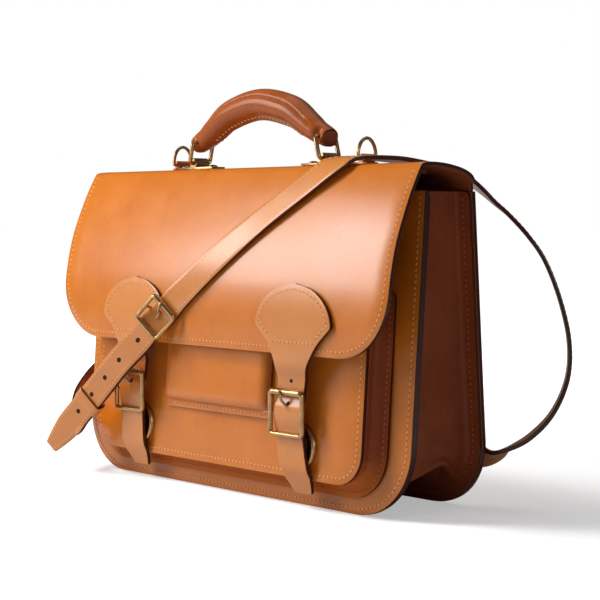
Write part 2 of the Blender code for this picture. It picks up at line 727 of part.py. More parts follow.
def prong_points(reach, front):
    """Loop round the centre bar, then a straight tongue to the top bar; (v, w) pairs."""
    loop = CENTRE_BAR / 2 * math.sqrt(2) + GAP + PRONG_WIRE
    points = []
    for k in range(9):
        angle = math.radians(-35 - 32 * k)
        points.append((loop * math.cos(angle), -loop * math.sin(angle)))
    points.append((reach * 0.55, (points[-1][1] + front) / 2))
    points.append((reach, front))
    return points


def make_buckle(side):
    word = "left" if side < 0 else "right"
    centre = Vector((side * STRAP_X, BUCKLE_Y, CENTRE_BAR_Z))

    def place(u, v, w):
        return centre + Vector((u, w, v))

    add_object("buckle_" + word, frame_mesh(BUCKLE_WIDTH, BUCKLE_HEIGHT, BUCKLE_SIDE, BUCKLE_TOP_BAR,
                                            BUCKLE_BOTTOM_BAR, CENTRE_BAR, BUCKLE_THICKNESS, place), BRASS)
    reach = BUCKLE_HEIGHT / 2 - 1.5
    front = -(BUCKLE_THICKNESS / 2 + GAP + PRONG_WIRE)
    points = [place(0, v, w) for v, w in prong_points(reach, front)]
    add_object("prong_" + word, wire_mesh(points, PRONG_WIRE), BRASS, centre)


def make_clasp(side):
    """Rimmed catch on the pocket and the plate behind the strap that snaps to it."""
    word = "left" if side < 0 else "right"
    slope = Vector((0, -1, LEAN)).normalized()
    base = Vector((side * STRAP_X, pocket_outer(CATCH_Z) - GAP, CATCH_Z))
    rim = CATCH_RADIUS
    profile = [(0, rim), (CATCH_DEPTH * 0.6, rim), (CATCH_DEPTH, rim - 1.0), (CATCH_DEPTH, rim - 3.0),
               (CATCH_DEPTH - 1.0, rim - 3.6)]
    add_object("catch_" + word, revolve_mesh(profile, base, slope, 24), BRASS)
    plate_y = STRAP_BEHIND + STRAP_THICKNESS / 2 + GAP
    plate = Vector((side * STRAP_X, plate_y, CATCH_Z + 2))
    profile = [(0, CLASP_RADIUS), (CLASP_DEPTH * 0.6, CLASP_RADIUS), (CLASP_DEPTH, CLASP_RADIUS - 1.5)]
    add_object("clasp_" + word, revolve_mesh(profile, plate, (0, 1, 0), 20), BRASS)


def shoulder_along(x):
    """Distance along the flap outline where the shoulder strap's middle crosses x."""
    for (x1, along1), (x2, along2) in zip(SHOULDER_ROUTE, SHOULDER_ROUTE[1:]):
        if x >= x2 or x2 == SHOULDER_TIP_X:
            return along1 + (along2 - along1) * (x1 - x) / (x1 - x2)


def shoulder_lift(x, pairs):
    for (x1, lift1), (x2, lift2) in zip(pairs, pairs[1:]):
        if x2 <= x <= x1:
            share = (x1 - x) / (x1 - x2)
            share = share * share * (3 - 2 * share)
            return lift1 + (lift2 - lift1) * share
    return pairs[-1][1] if x < pairs[-1][0] else pairs[0][1]


def shoulder_point(x, lift):
    centre, normal = flap_place(shoulder_along(x), lift)
    return Vector((x, centre.y, centre.z)), normal


def shoulder_spot(x, across, lift):
    """Point of the strap's cross-section, laid on the flap as flat leather."""
    run = Vector((20, shoulder_along(x - 10) - shoulder_along(x + 10))).normalized()
    spot, _ = flap_place(shoulder_along(x) + run.x * across, lift)
    return Vector((x + run.y * across, spot.y, spot.z))


def make_shoulder_front():
    """Upper run of the strap, laid on the flap: from its back corner down to the tapered tip."""
    top = SHOULDER_ROUTE[0][0]
    xs = [top - 4 * k for k in range(22)] + [70 - 10 * k for k in range(12)]
    xs += [-45, -50, -52, -54.5, -57, -61, -63.5, -66.5, -69, -84, -90, -115, -134, -150]
    xs += [SHOULDER_TAPER_X, -178, -186, SHOULDER_TIP_X]
    sections = []
    for x in xs:
        taper = max(0.0, (SHOULDER_TAPER_X - x) / (SHOULDER_TAPER_X - SHOULDER_TIP_X))
        half = SHOULDER_WIDTH / 2 * (1 - 0.62 * taper ** 1.6)
        lift = shoulder_lift(x, UPPER_LIFT)
        section = []
        for level, order in ((-1, (-1, -0.5, 0, 0.5, 1)), (1, (1, 0.5, 0, -0.5, -1))):
            for share in order:
                section.append(shoulder_spot(x, half * share, lift + level * SHOULDER_THICKNESS / 2))
        sections.append(section)
    strap = add_object("shoulder_strap_front", loft_mesh(sections), LEATHER)
    bar, _ = shoulder_point(SHOULDER_BUCKLE_X, SHOULDER_FRAME_LIFT)
    cut(strap, slot_cutter(bar), "prong_slot")


def buckle_axes():
    """Along-strap, across-strap and outward directions at the shoulder buckle."""
    ahead, normal = shoulder_point(SHOULDER_BUCKLE_X + 8, 6.0)
    behind, _ = shoulder_point(SHOULDER_BUCKLE_X - 8, 6.0)
    along = (ahead - behind).normalized()
    across = along.cross(normal).normalized()
    return along, across, across.cross(along).normalized()


def slot_cutter(centre):
    along, across, out = buckle_axes()
    bm = box_mesh((0, 0, 0), (1, 1, 1))
    for vert in bm.verts:
        u, v, w = vert.co
        vert.co = centre + across * u * SLOT_WIDTH + along * (v * 15 + 1.5) + out * w * 20
    return bm


def make_shoulder_buckle():
    along, across, out = buckle_axes()
    tilt = math.radians(SHOULDER_FRAME_TILT)
    up = along * math.cos(tilt) - out * math.sin(tilt)
    face = out * math.cos(tilt) + along * math.sin(tilt)
    centre, _ = shoulder_point(SHOULDER_BUCKLE_X, SHOULDER_FRAME_LIFT)

    def place(u, v, w):
        return centre + across * u + up * v - face * w

    add_object("shoulder_buckle", frame_mesh(SHOULDER_FRAME_WIDTH, SHOULDER_FRAME, SHOULDER_FRAME_SIDE,
                                             SHOULDER_FRAME_BAR, SHOULDER_FRAME_SIDE, CENTRE_BAR,
                                             SHOULDER_FRAME_THICKNESS, place), BRASS)
    reach = SHOULDER_FRAME / 2 - 1.2
    front = -(SHOULDER_FRAME_THICKNESS / 2 + GAP + PRONG_WIRE)
    points = [place(0, v, w) for v, w in prong_points(reach, front)]
    add_object("shoulder_prong", wire_mesh(points, PRONG_WIRE), BRASS, centre)


def make_keeper():
    """Leather band that holds the two strap layers together below the buckle."""
    x = SHOULDER_KEEPER_X
    centre, normal = shoulder_point(x, KEEPER_LIFT)
    ahead, _ = shoulder_point(x + 5, KEEPER_LIFT)
    along = (ahead - centre).normalized()
    across = along.cross(normal).normalized()
    half_across = SHOULDER_WIDTH / 2 + GAP + KEEPER_WALL / 2
    half_out = SHOULDER_THICKNESS + 0.5 + GAP + KEEPER_WALL / 2
    sections = []
    for u, w in ((-1, -1), (1, -1), (1, 1), (-1, 1)):
        ring = []
        for grow, shift in ((-1, -1), (1, -1), (1, 1), (-1, 1)):
            wall = grow * KEEPER_WALL / 2
            ring.append(centre + across * u * (half_across + wall) + normal * w * (half_out + wall)
                        + along * shift * KEEPER_WIDTH / 2)
        sections.append(ring)
    add_object("shoulder_keeper", loft_mesh(sections, True), LEATHER)


def on_back(point):
    """Middle of a strap lying on the back panel's outer face."""
    return Vector((point.x, back_outer(point.z) + SHOULDER_THICKNESS / 2 + GAP, point.z))


def make_shoulder_loop():
    """Free loop from the flap's back corner, turning flat as it goes behind the back panel."""
    x = SHOULDER_ROUTE[0][0]
    lift = shoulder_lift(x, UPPER_LIFT)
    end, normal = shoulder_point(x, lift)
    before, _ = shoulder_point(x - 8, lift)
    heading = (end - before).normalized()
    half = SHOULDER_WIDTH / 2
    chord = shoulder_spot(x, half, lift) - shoulder_spot(x, -half, lift)
    first = end + heading * SHOULDER_JOIN + normal * 1.2
    flat = Vector((0, -LEAN, 1))
    run = (on_back(BACK_START) - on_back(BACK_END)).normalized()
    landing = on_back(BACK_START) + run * SHOULDER_JOIN + Vector((0, 0.2, 0))
    path = [first, first + heading * 3] + [Vector(p) for p, _ in LOOP_POINTS]
    path += [landing + run * 9 + Vector((0, 1.0, 0)), landing]
    sides = [chord.normalized()] * 2
    for index, (_, turned) in enumerate(LOOP_POINTS):
        rolled = sides[0].lerp(LOOP_SIDE, min(1.0, (index + 0.5) / 4))
        sides.append(rolled.lerp(flat, turned))
    sides += [flat, flat]
    centres = spline(path, 2)
    stations = []
    for centre, tangent, side in zip(centres, path_tangents(centres), spline(sides, 2)):
        across = side - tangent * side.dot(tangent)
        stations.append((centre, across, across.cross(tangent), SHOULDER_WIDTH, SHOULDER_THICKNESS))
    add_object("shoulder_strap_loop", loft_mesh(band_sections(stations)), LEATHER)


def make_shoulder_back():
    """Run across the back panel, low on the right and higher on the left."""
    path = [on_back(BACK_START.lerp(BACK_END, k / 4)) for k in range(5)]
    strip("shoulder_strap_back", path, [Vector((0, 1, LEAN))] * 5, [SHOULDER_WIDTH] * 5,
          SHOULDER_THICKNESS, LEATHER)


def make_shoulder_return():
    """From the back panel round the left side, then up under the front run to the buckle."""
    start = on_back(BACK_END)
    run = (start - on_back(BACK_START)).normalized()
    flat = Vector((0, 1, LEAN))
    turn = [(start + run * (GAP + 0.1), flat), (start + run * 10, flat)]
    turn += [(Vector(point), Vector(facing)) for point, facing in RETURN_TURN]
    xs = (-160, -148, -134, -115, -95, -80, -65)
    under = [shoulder_point(x, shoulder_lift(x, RETURN_LIFT)) for x in xs]
    centres = spline([p for p, _ in turn + under], 2)
    normals = spline([n for _, n in turn + under], 2)
    strip("shoulder_strap_return", centres, normals, [SHOULDER_WIDTH] * len(centres), SHOULDER_THICKNESS,
          LEATHER)


def main():
    clear_scene()
    make_panels()
    make_main_gusset()
    make_pocket_gusset()
    make_slip_pocket()
    flap = make_flap()
    make_flap_bend()
    stiffener = make_top_stiffener()
    for side in (-1, 1):
        make_handle_mount(side, flap, stiffener)
        make_d_ring(side)
        make_flap_strap(side)
        make_buckle(side)
        make_clasp(side)
    make_handle()
    make_shoulder_front()
    make_shoulder_buckle()
    make_keeper()
    make_shoulder_loop()
    make_shoulder_back()
    make_shoulder_return()


main()
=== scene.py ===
import json
import math

import bmesh
import bpy
from bpy.props import FloatProperty, FloatVectorProperty, PointerProperty
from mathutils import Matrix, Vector


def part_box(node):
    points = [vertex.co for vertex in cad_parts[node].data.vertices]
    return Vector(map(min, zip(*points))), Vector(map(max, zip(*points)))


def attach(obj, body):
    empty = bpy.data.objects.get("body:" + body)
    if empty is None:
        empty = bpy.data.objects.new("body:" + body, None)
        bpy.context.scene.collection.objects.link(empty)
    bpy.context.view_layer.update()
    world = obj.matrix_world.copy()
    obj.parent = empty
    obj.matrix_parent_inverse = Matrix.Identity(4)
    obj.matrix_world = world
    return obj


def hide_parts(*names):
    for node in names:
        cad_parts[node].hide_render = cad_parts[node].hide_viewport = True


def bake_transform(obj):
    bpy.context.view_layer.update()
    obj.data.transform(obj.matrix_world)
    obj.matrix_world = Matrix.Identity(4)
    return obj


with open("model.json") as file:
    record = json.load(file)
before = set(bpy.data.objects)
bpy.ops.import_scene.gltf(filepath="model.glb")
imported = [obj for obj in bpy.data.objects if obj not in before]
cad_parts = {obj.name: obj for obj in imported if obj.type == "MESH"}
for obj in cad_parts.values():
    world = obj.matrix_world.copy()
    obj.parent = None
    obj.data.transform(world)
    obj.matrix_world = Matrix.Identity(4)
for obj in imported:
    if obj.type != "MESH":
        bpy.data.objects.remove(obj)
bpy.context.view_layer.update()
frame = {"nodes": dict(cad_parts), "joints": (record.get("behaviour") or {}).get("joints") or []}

bl_info = {
    "name": "Leather Briefcase",
    "version": (1, 0, 0),
    "blender": (4, 5, 0),
    "location": "View3D > Sidebar > Briefcase",
    "description": "Dresses the packed briefcase with sewn leather and antique brass",
    "category": "Object",
}

# Shapes are worked out in millimetres and written to meshes in metres.
MM = 0.001
X_AXIS = Vector((1, 0, 0))
Y_AXIS = Vector((0, 1, 0))
Z_AXIS = Vector((0, 0, 1))

SIDES = ((-1, "left"), (1, "right"))


def box_mm(node):
    """Lowest and highest corner of a CAD node, in millimetres."""
    return [[round(value / MM, 1) for value in corner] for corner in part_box(node)]


def joint_mm(name):
    """Place of one of the record's joints, in millimetres."""
    joint = next(joint for joint in frame["joints"] if joint["name"] == name)
    return [round(value / MM, 1) for value in joint["pos_m"]]


# Body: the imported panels' sizes, and the gusset between them
(PANEL_LEFT, PANEL_FRONT, _), (PANEL_RIGHT, _, PANEL_HEIGHT) = box_mm("front_panel")
WIDTH = PANEL_RIGHT - PANEL_LEFT
PANEL_THICKNESS = -2 * PANEL_FRONT
DEPTH = box_mm("back_panel")[1][1] - PANEL_THICKNESS / 2
PANEL_CORNER = 50.0
LEAN = 0.073
SEAM_END = 4.0
GUSSET_FLANGE = 13.0
GUSSET_SIDE_FOLD = 1.5
GUSSET_BOTTOM_FOLD = 22.0
GUSSET_THICKNESS = 2.3
GUSSET_GAP = 0.3
GUSSET_SEAM_INSET = 7.0
# The gusset's web: a dent half-way up its sides, a slanted ridge below it and a crease at the lower corners.
# The crease lies where the inward normal's z reaches its value, which is lowest near the web's middle.
DENT_DEPTH = 2.5
DENT_HEIGHT = 112.0
DENT_SPREAD = 15.0
SLOPE_DEPTH = 1.5
SLOPE_HEIGHT = 71.0
SLOPE_FALL = 45.0
SLOPE_SPREAD = 6.0
CREASE_ENDS = 0.84
CREASE_PEAK = 0.5
CREASE_MIDDLE = 0.62
CREASE_SOFTNESS = 0.12
RIDGE_ENDS = 2.5
RIDGE_PEAK = 4.0
RIDGE_SPREAD = 0.06

# Front pocket, its gusset and the slip pocket on it
(POCKET_LEFT, _, POCKET_BOTTOM), (POCKET_RIGHT, _, POCKET_TOP) = box_mm("pocket_panel")
POCKET_WIDTH = POCKET_RIGHT - POCKET_LEFT
POCKET_CORNER = 24.0
POCKET_DEPTH = 17.0
POCKET_THICKNESS = 3.0
POCKET_GUSSET_THICKNESS = 1.9
POCKET_FLANGE = 11.0
POCKET_SEAM_END = 3.0
# Distance of the gusset's middle from the leather that it is sewn to, and of its seam from its edge
POCKET_GUSSET_SET = 1.3
POCKET_GUSSET_INSET = 4.0
POCKET_RUFFLE = 1.5
# Heights between which the pocket gusset's own tan near the floor turns into the darker colour above, which
# is painted shade
PAINTED_SHADE_LOW = 20.0
PAINTED_SHADE_HIGH = 46.0
(SLIP_LEFT, _, SLIP_BOTTOM), (SLIP_RIGHT, _, SLIP_TOP) = box_mm("slip_pocket")
SLIP_WIDTH = SLIP_RIGHT - SLIP_LEFT
SLIP_THICKNESS = 2.0
# The slip pocket lies flat on its welt and swells above it.
SLIP_WELT = 6.5
SLIP_WELT_SEAM = 3.2
SLIP_FLAT = 1.2
SLIP_SWELL = 5.2
SLIP_SIDE_ROUND = 9.0
SLIP_FOOT_ROUND = 6.0

# Flap outline from the hinge over the top to the front edge: (y, z)
FLAP_OUTLINE = [
    (66.5, 239.0), (62.0, 244.5), (50.0, 249.0), (30.0, 252.0), (12.0, 251.5), (6.5, 246.0),
    (-4.0, 226.0), (-15.5, 198.0), (-22.0, 171.0), (-25.0, 143.0), (-25.0, 114.0),
]
(FLAP_LEFT, _, _), (FLAP_RIGHT, _, _) = box_mm("flap")
FLAP_WIDTH = FLAP_RIGHT - FLAP_LEFT
FLAP_THICKNESS = 3.0
FLAP_CORNER = 48.0
BEND_THICKNESS = 3.2

# Flap straps and buckles
STRAP_X, BUCKLE_Y, BAR_Z = joint_mm("prong_right_pivot")
STRAP_WIDTH = 28.0
STRAP_THICKNESS = 3.0
BELL_TOP = 165.0
# Bell and neck of a flap strap below the bell's round top: (z, width)
BELL_SIDE = [(135.0, 80.0), (129.0, 66.0), (122.5, 52.5), (114.0, 41.5), (106.0, 33.5), (97.0, 29.3),
             (88.0, 28.0)]
# Each strap leans a little: its sideways shift at the bell, the buckle and the tip, and its buckle's rise
STRAP_SHIFTS = {-1: (6.0, -2.6, -1.4), 1: (3.5, -5.0, 1.5)}
BUCKLE_RISE = {-1: 4.5, 1: 2.0}
BELL_MIDDLE = 128.0
BELL_FOOT = 121.5
BELL_SEAM_INSET = 4.0
STRAP_TIP = 12.0
STRAP_TAPER = 13.0
UPPER_HOLE = 95.0
(BUCKLE_LEFT, _, BUCKLE_BOTTOM), (BUCKLE_RIGHT, _, BUCKLE_TOP) = box_mm("buckle_right")
BUCKLE_WIDTH = BUCKLE_RIGHT - BUCKLE_LEFT
BUCKLE_HEIGHT = BUCKLE_TOP - BUCKLE_BOTTOM
BUCKLE_WIRE = 1.9
BUCKLE_TOP_WIRE = 2.7
BUCKLE_CORNER = 3.2
BAR_WIRE = 1.2
BAR_SET = 5.0
PRONG_REACH = 15.6
PRONG_HOOK = 2.9
CATCH_Z = BUCKLE_BOTTOM - 5.0
CATCH_RADIUS = 17.0

# Handle and rings
PLATE_X, HANDLE_Y, RING_PIVOT = joint_mm("ring_right_pivot")
PLATE_LENGTH = 48.0
PLATE_WIDTH = 14.0
PLATE_THICKNESS = 1.8
PLATE_BASE = box_mm("handle_plate_right")[0][2]
PLATE_TOP = PLATE_BASE + PLATE_THICKNESS
PLATE_BARREL = 4.4
PLATE_BORE = 2.3
RIVET_SHIFT = 17.0
RIVET_PROFILE = [(-0.2, 4.0), (0.5, 3.9), (1.1, 3.3), (1.6, 2.2), (1.85, 0.8)]
GRIP_SIDES = 60
# Groove along the grip's top, sewn keel below and slots round the rings' bars, as shares of its radius
GROOVE_ANGLE = 2.62
GROOVE_SPREAD = 0.11
GROOVE_DEPTH = 0.17
KEEL_SPREAD = 0.17
KEEL_DEPTH = 0.2
SLOT_SPREAD = 3.0
SLOT_DEPTH = 0.75
RING_CORNER = 3.2
RING_REACH = 17.7
RING_LEAN = 15.0
RING_WIRE = 1.7
RING_HALF = 10.5
D_X, D_Y, D_PIVOT = joint_mm("d_ring_right_pivot")
D_WIRE = 1.35
D_HALF = 9.5
D_HEIGHT = 15.0
D_SHOULDER = 3.0
D_TAB_LENGTH = 11.0
D_TAB_WIDTH = 13.0
D_TAB_BARREL = 3.5
D_TAB_BORE = 2.0

# Shoulder strap
SHOULDER_WIDTH = 21.0
SHOULDER_THICKNESS = 3.2
SHOULDER_SEAM_INSET = 2.6
# The strap's middle on the flap: (x, distance over the flap from its hinge)
SHOULDER_ROUTE = [(158.0, 11.4), (120.0, 53.6), (-40.0, 174.0), (-72.0, 205.3),
                  (-143.0, 263.5), (-190.0, 302.5)]
SHOULDER_TAPER_X = -160.0
SHOULDER_TIP_X = -186.0
# Punched holes: (across, minus x)
SHOULDER_HOLES = [(-1.7, 50.5), (0.0, 69.5), (0.0, 89.0), (0.0, 108.0), (0.0, 126.5), (0.0, 145.5)]
SHOULDER_BUCKLE_X = -49.5
SHOULDER_FRAME_WIDTH = 28.6
SHOULDER_FRAME_HEIGHT = 27.4
SHOULDER_FRAME_WIRE = 1.6
SHOULDER_FRAME_TOP_WIRE = 2.4
SHOULDER_FRAME_LIFT = 12.0
SHOULDER_FRAME_TILT = 14.0
SHOULDER_BAR_SET = 6.2
SHOULDER_PRONG_REACH = 12.1
KEEPER_X = -134.0
KEEPER_LIFT = 15.2
KEEPER_WIDTH = 11.0
KEEPER_WALL = 1.6
KEEPER_HALF_HEIGHT = 4.6
# Height of the strap's middle over the flap, and how far its width tips to the right: (x, value)
UPPER_LIFT = [(158, 3.0), (140, 4.4), (112, 4.6), (80, 3.1), (30, 2.7), (-15, 3.4), (-45, 4.6), (-62, 11.6),
              (-92, 17.0), (-134, 17.0), (-190, 18.0)]
RETURN_LIFT = [(-63, 8.4), (-92, 13.4), (-165, 13.4)]
SHOULDER_TIP_OVER = [(60, 0.0), (-10, 0.12), (-55, 0.27), (-190, 0.36)]
# Middle of the free loop, and how far its width has turned flat to the back panel
LOOP_POINTS = [((166.0, 68.5, 247.0), 0.0), ((175.0, 76.5, 241.0), 0.0), ((184.1, 82.5, 232.5), 0.0),
               ((191.4, 88.0, 223.9), 0.0), ((200.0, 93.5, 215.1), 0.0), ((212.4, 100.0, 200.0), 0.0),
               ((222.5, 107.0, 182.0), 0.0), ((231.3, 113.5, 154.0), 0.0), ((236.2, 118.0, 124.0), 0.0),
               ((234.8, 118.0, 96.6), 0.0), ((226.9, 111.0, 71.4), 0.0), ((213.1, 102.0, 53.6), 0.0),
               ((196.1, 95.5, 43.3), 0.12), ((184.0, 93.6, 38.8), 0.42), ((168.0, 90.2, 37.6), 0.92)]
LOOP_SIDE = Vector((0.64, -0.768, 0.0))
BACK_START = Vector((148.0, 0, 38.5))
BACK_END = Vector((-176.0, 0, 104.0))
# The strap's turn round the left side, before it runs under its own front run: (middle, outward)
RETURN_TURN = [((-196.0, 79.0, 103.0), (-0.7, 0.7, 0.0)), ((-201.0, 50.0, 94.0), (-1.0, 0.0, 0.0)),
               ((-200.0, 19.0, 77.4), (-1.0, 0.0, 0.0)), ((-197.0, -1.0, 61.5), (-1.0, -0.2, 0.0)),
               ((-188.0, -19.0, 49.0), (-0.5, -0.9, 0.0))]
RETURN_UNDER_X = (-160.0, -148.0, -134.0, -115.0, -95.0, -80.0, -65.0)

# The photograph's camera
CAMERA_PLACE = Vector((0.9492, -0.8063, 0.2141))
CAMERA_AZIMUTH = 47.2145
CAMERA_ELEVATION = 2.9897
CAMERA_FOCAL_PIXELS = 1600.0
IMAGE_PIXELS = 600.0


def linear(hex_colour):
    """sRGB hex to linear RGB."""
    channels = [int(hex_colour[i:i + 2], 16) / 255 for i in (1, 3, 5)]
    return tuple(c / 12.92 if c <= 0.04045 else ((c + 0.055) / 1.055) ** 2.4 for c in channels)


class BriefcaseSizes(bpy.types.PropertyGroup):
    """Sizes of the sewing and the leather's surface."""
    stitch_pitch: FloatProperty(name="Stitch pitch", description="Distance from stitch to stitch",
                                default=0.0042, unit="LENGTH")
    thread: FloatProperty(name="Thread", description="Thickness of the sewing thread",
                          default=0.0012, unit="LENGTH")
    seam_inset: FloatProperty(name="Seam inset", description="Distance of a seam from the leather's edge",
                              default=0.0045, unit="LENGTH")
    edge_round: FloatProperty(name="Edge round", description="Rounding of the burnished edges",
                              default=0.0007, unit="LENGTH")
    grain: FloatProperty(name="Grain", description="Width of one pebble of the leather's grain",
                         default=0.0011, unit="LENGTH")


class BriefcaseColours(bpy.types.PropertyGroup):
    """Colours of the finishes."""
    leather: FloatVectorProperty(name="Leather", description="Lit face of the tan leather",
                                 subtype="COLOR", default=linear("#D2771C"))
    leather_deep: FloatVectorProperty(name="Leather, deep", description="Darker clouds in the tan leather",
                                      subtype="COLOR", default=linear("#BE640F"))
    strap: FloatVectorProperty(name="Straps", description="Paler leather of the straps",
                               subtype="COLOR", default=linear("#D6853F"))
    handle: FloatVectorProperty(name="Handle", description="Darker leather of the rolled handle",
                                subtype="COLOR", default=linear("#B05A24"))
    # Gusset colour: the tan leather darkened as painted shade, for the gussets, the bag's inside and the
    # stiffener
    gusset: FloatVectorProperty(name="Gusset", description="Folded side leather",
                                subtype="COLOR", default=linear("#A85431"))
    edge: FloatVectorProperty(name="Edge", description="Burnished cut edges",
                              subtype="COLOR", default=linear("#3E160C"))
    thread: FloatVectorProperty(name="Thread", description="Sewing thread",
                                subtype="COLOR", default=linear("#F4B070"))
    # Darker thread of the gusset seams: the thread's colour with painted shade
    thread_painted_shade: FloatVectorProperty(name="Thread, dark", description="Sewing thread of the gussets",
                                     subtype="COLOR", default=linear("#D0682C"))
    brass: FloatVectorProperty(name="Brass", description="Polished high spots of the brass",
                               subtype="COLOR", default=linear("#CBA372"))
    brass_dark: FloatVectorProperty(name="Brass, dark", description="Tarnish in the brass",
                                    subtype="COLOR", default=linear("#A98A60"))


def sizes():
    return bpy.context.scene.briefcase_sizes


def colours():
    return bpy.context.scene.briefcase_colours


def add_node(tree, kind, settings=None, inputs=None):
    """Add a node, set its properties and link or fill its inputs."""
    made = tree.nodes.new(kind)
    for key, value in (settings or {}).items():
        setattr(made, key, value)
    for key, value in (inputs or {}).items():
        if isinstance(value, bpy.types.NodeSocket):
            tree.links.new(value, made.inputs[key])
        else:
            made.inputs[key].default_value = value
    return made


def new_material(name):
    """An empty Principled material, or the one already made under that name."""
    if name in bpy.data.materials:
        return bpy.data.materials[name], None, None
    mat = bpy.data.materials.new(name)
    mat.use_nodes = True
    return mat, mat.node_tree, mat.node_tree.nodes["Principled BSDF"]


def rgba(colour):
    return (colour[0], colour[1], colour[2], 1.0)


def leather_material(name, light, deep, roughness, coat=0.35, foot=None):
    """Vegetable-tanned bridle leather: waxed and rolled, so clouded in colour with a soft, uneven gloss.

    A foot colour, where given, is the leather's own colour near the floor; the darker colour above it is
    painted shade.
    """
    mat, tree, shader = new_material(name)
    if tree is None:
        return mat
    # Clouds are about 45 mm wide, mottling 4 mm and wrinkles 9 mm.
    place = add_node(tree, "ShaderNodeTexCoord").outputs["Object"]
    clouds = add_node(tree, "ShaderNodeTexNoise", inputs={
        "Vector": place, "Scale": 1 / 0.045, "Detail": 5.0, "Roughness": 0.6})
    fine = add_node(tree, "ShaderNodeTexNoise", inputs={
        "Vector": place, "Scale": 1 / 0.004, "Detail": 3.0})
    blend = add_node(tree, "ShaderNodeMath", {"operation": "MULTIPLY_ADD"}, {
        0: fine.outputs["Fac"], 1: 0.35, 2: clouds.outputs["Fac"]})
    ramp = add_node(tree, "ShaderNodeValToRGB", inputs={"Fac": blend.outputs[0]})
    ramp.color_ramp.elements[0].position = 0.3
    ramp.color_ramp.elements[0].color = rgba(deep)
    ramp.color_ramp.elements[1].position = 0.9
    ramp.color_ramp.elements[1].color = rgba(light)
    colour = ramp.outputs["Color"]
    # Painted shade: the darker colour above these heights, the leather's own colour below them
    if foot is not None:
        height = add_node(tree, "ShaderNodeSeparateXYZ", inputs={"Vector": place}).outputs["Z"]
        rise = add_node(tree, "ShaderNodeMapRange", inputs={
            "Value": height, "From Min": PAINTED_SHADE_LOW * MM, "From Max": PAINTED_SHADE_HIGH * MM})
        mix = add_node(tree, "ShaderNodeMix", {"data_type": "RGBA"}, {
            0: rise.outputs["Result"], 6: rgba(foot), 7: colour})
        colour = mix.outputs[2]
    tree.links.new(colour, shader.inputs["Base Color"])
    gloss = add_node(tree, "ShaderNodeMapRange", inputs={
        "Value": clouds.outputs["Fac"], "From Min": 0.3, "From Max": 0.7,
        "To Min": roughness - 0.03, "To Max": roughness + 0.05})
    tree.links.new(gloss.outputs["Result"], shader.inputs["Roughness"])
    pebble = add_node(tree, "ShaderNodeTexVoronoi", {"feature": "SMOOTH_F1"}, {
        "Vector": place, "Scale": 1 / sizes().grain})
    wrinkle = add_node(tree, "ShaderNodeTexNoise", inputs={
        "Vector": place, "Scale": 1 / 0.009, "Detail": 6.0, "Roughness": 0.65})
    height = add_node(tree, "ShaderNodeMath", {"operation": "MULTIPLY_ADD"}, {
        0: pebble.outputs["Distance"], 1: 0.45, 2: wrinkle.outputs["Fac"]})
    bump = add_node(tree, "ShaderNodeBump", inputs={
        "Height": height.outputs[0], "Strength": 0.1, "Distance": 0.0004})
    tree.links.new(bump.outputs["Normal"], shader.inputs["Normal"])
    shader.inputs["Coat Weight"].default_value = coat
    shader.inputs["Specular IOR Level"].default_value = 0.145 + coat
    shader.inputs["Coat Roughness"].default_value = 0.2
    return mat


def tan_leather():
    return leather_material("bridle_leather_tan", colours().leather, colours().leather_deep, 0.30)


def strap_leather():
    deep = [c * 0.82 for c in colours().strap]
    return leather_material("strap_leather", colours().strap, deep, 0.30)


def handle_leather():
    deep = [c * 0.62 for c in colours().handle]
    return leather_material("handle_leather", colours().handle, deep, 0.27, 0.08)


# The gussets' leather: darker than the tan, its colour holds painted shade
def gusset_leather(name="gusset_painted_shade_leather", foot=None):
    deep = [c * 0.6 for c in colours().gusset]
    return leather_material(name, colours().gusset, deep, 0.36, 0.0, foot)


def edge_material():
    """Burnished cut edge: waxed fibres, dark and slightly shiny."""
    mat, tree, shader = new_material("burnished_edge")
    if tree is None:
        return mat
    place = add_node(tree, "ShaderNodeTexCoord").outputs["Object"]
    fibre = add_node(tree, "ShaderNodeTexNoise", inputs={"Vector": place, "Scale": 1 / 0.002, "Detail": 4.0})
    ramp = add_node(tree, "ShaderNodeValToRGB", inputs={"Fac": fibre.outputs["Fac"]})
    ramp.color_ramp.elements[0].color = rgba([c * 0.6 for c in colours().edge])
    ramp.color_ramp.elements[1].color = rgba([min(1.0, c * 1.8) for c in colours().edge])
    tree.links.new(ramp.outputs["Color"], shader.inputs["Base Color"])
    shader.inputs["Roughness"].default_value = 0.28
    return mat


def thread_material(name="waxed_thread"):
    """Waxed linen thread: two plies whose twist shows as fine slanted bands."""
    mat, tree, shader = new_material(name)
    if tree is None:
        return mat
    place = add_node(tree, "ShaderNodeTexCoord").outputs["Object"]
    twist = add_node(tree, "ShaderNodeTexWave", {"bands_direction": "DIAGONAL"}, {
        "Vector": place, "Scale": 1 / 0.0012, "Distortion": 1.0})
    ramp = add_node(tree, "ShaderNodeValToRGB", inputs={"Fac": twist.outputs["Fac"]})
    # The gusset seams' darker thread holds painted shade
    colour = colours().thread if name == "waxed_thread" else colours().thread_painted_shade
    ramp.color_ramp.elements[0].color = rgba([c * 0.7 for c in colour])
    ramp.color_ramp.elements[1].color = rgba(colour)
    tree.links.new(ramp.outputs["Color"], shader.inputs["Base Color"])
    shader.inputs["Roughness"].default_value = 0.6
    return mat


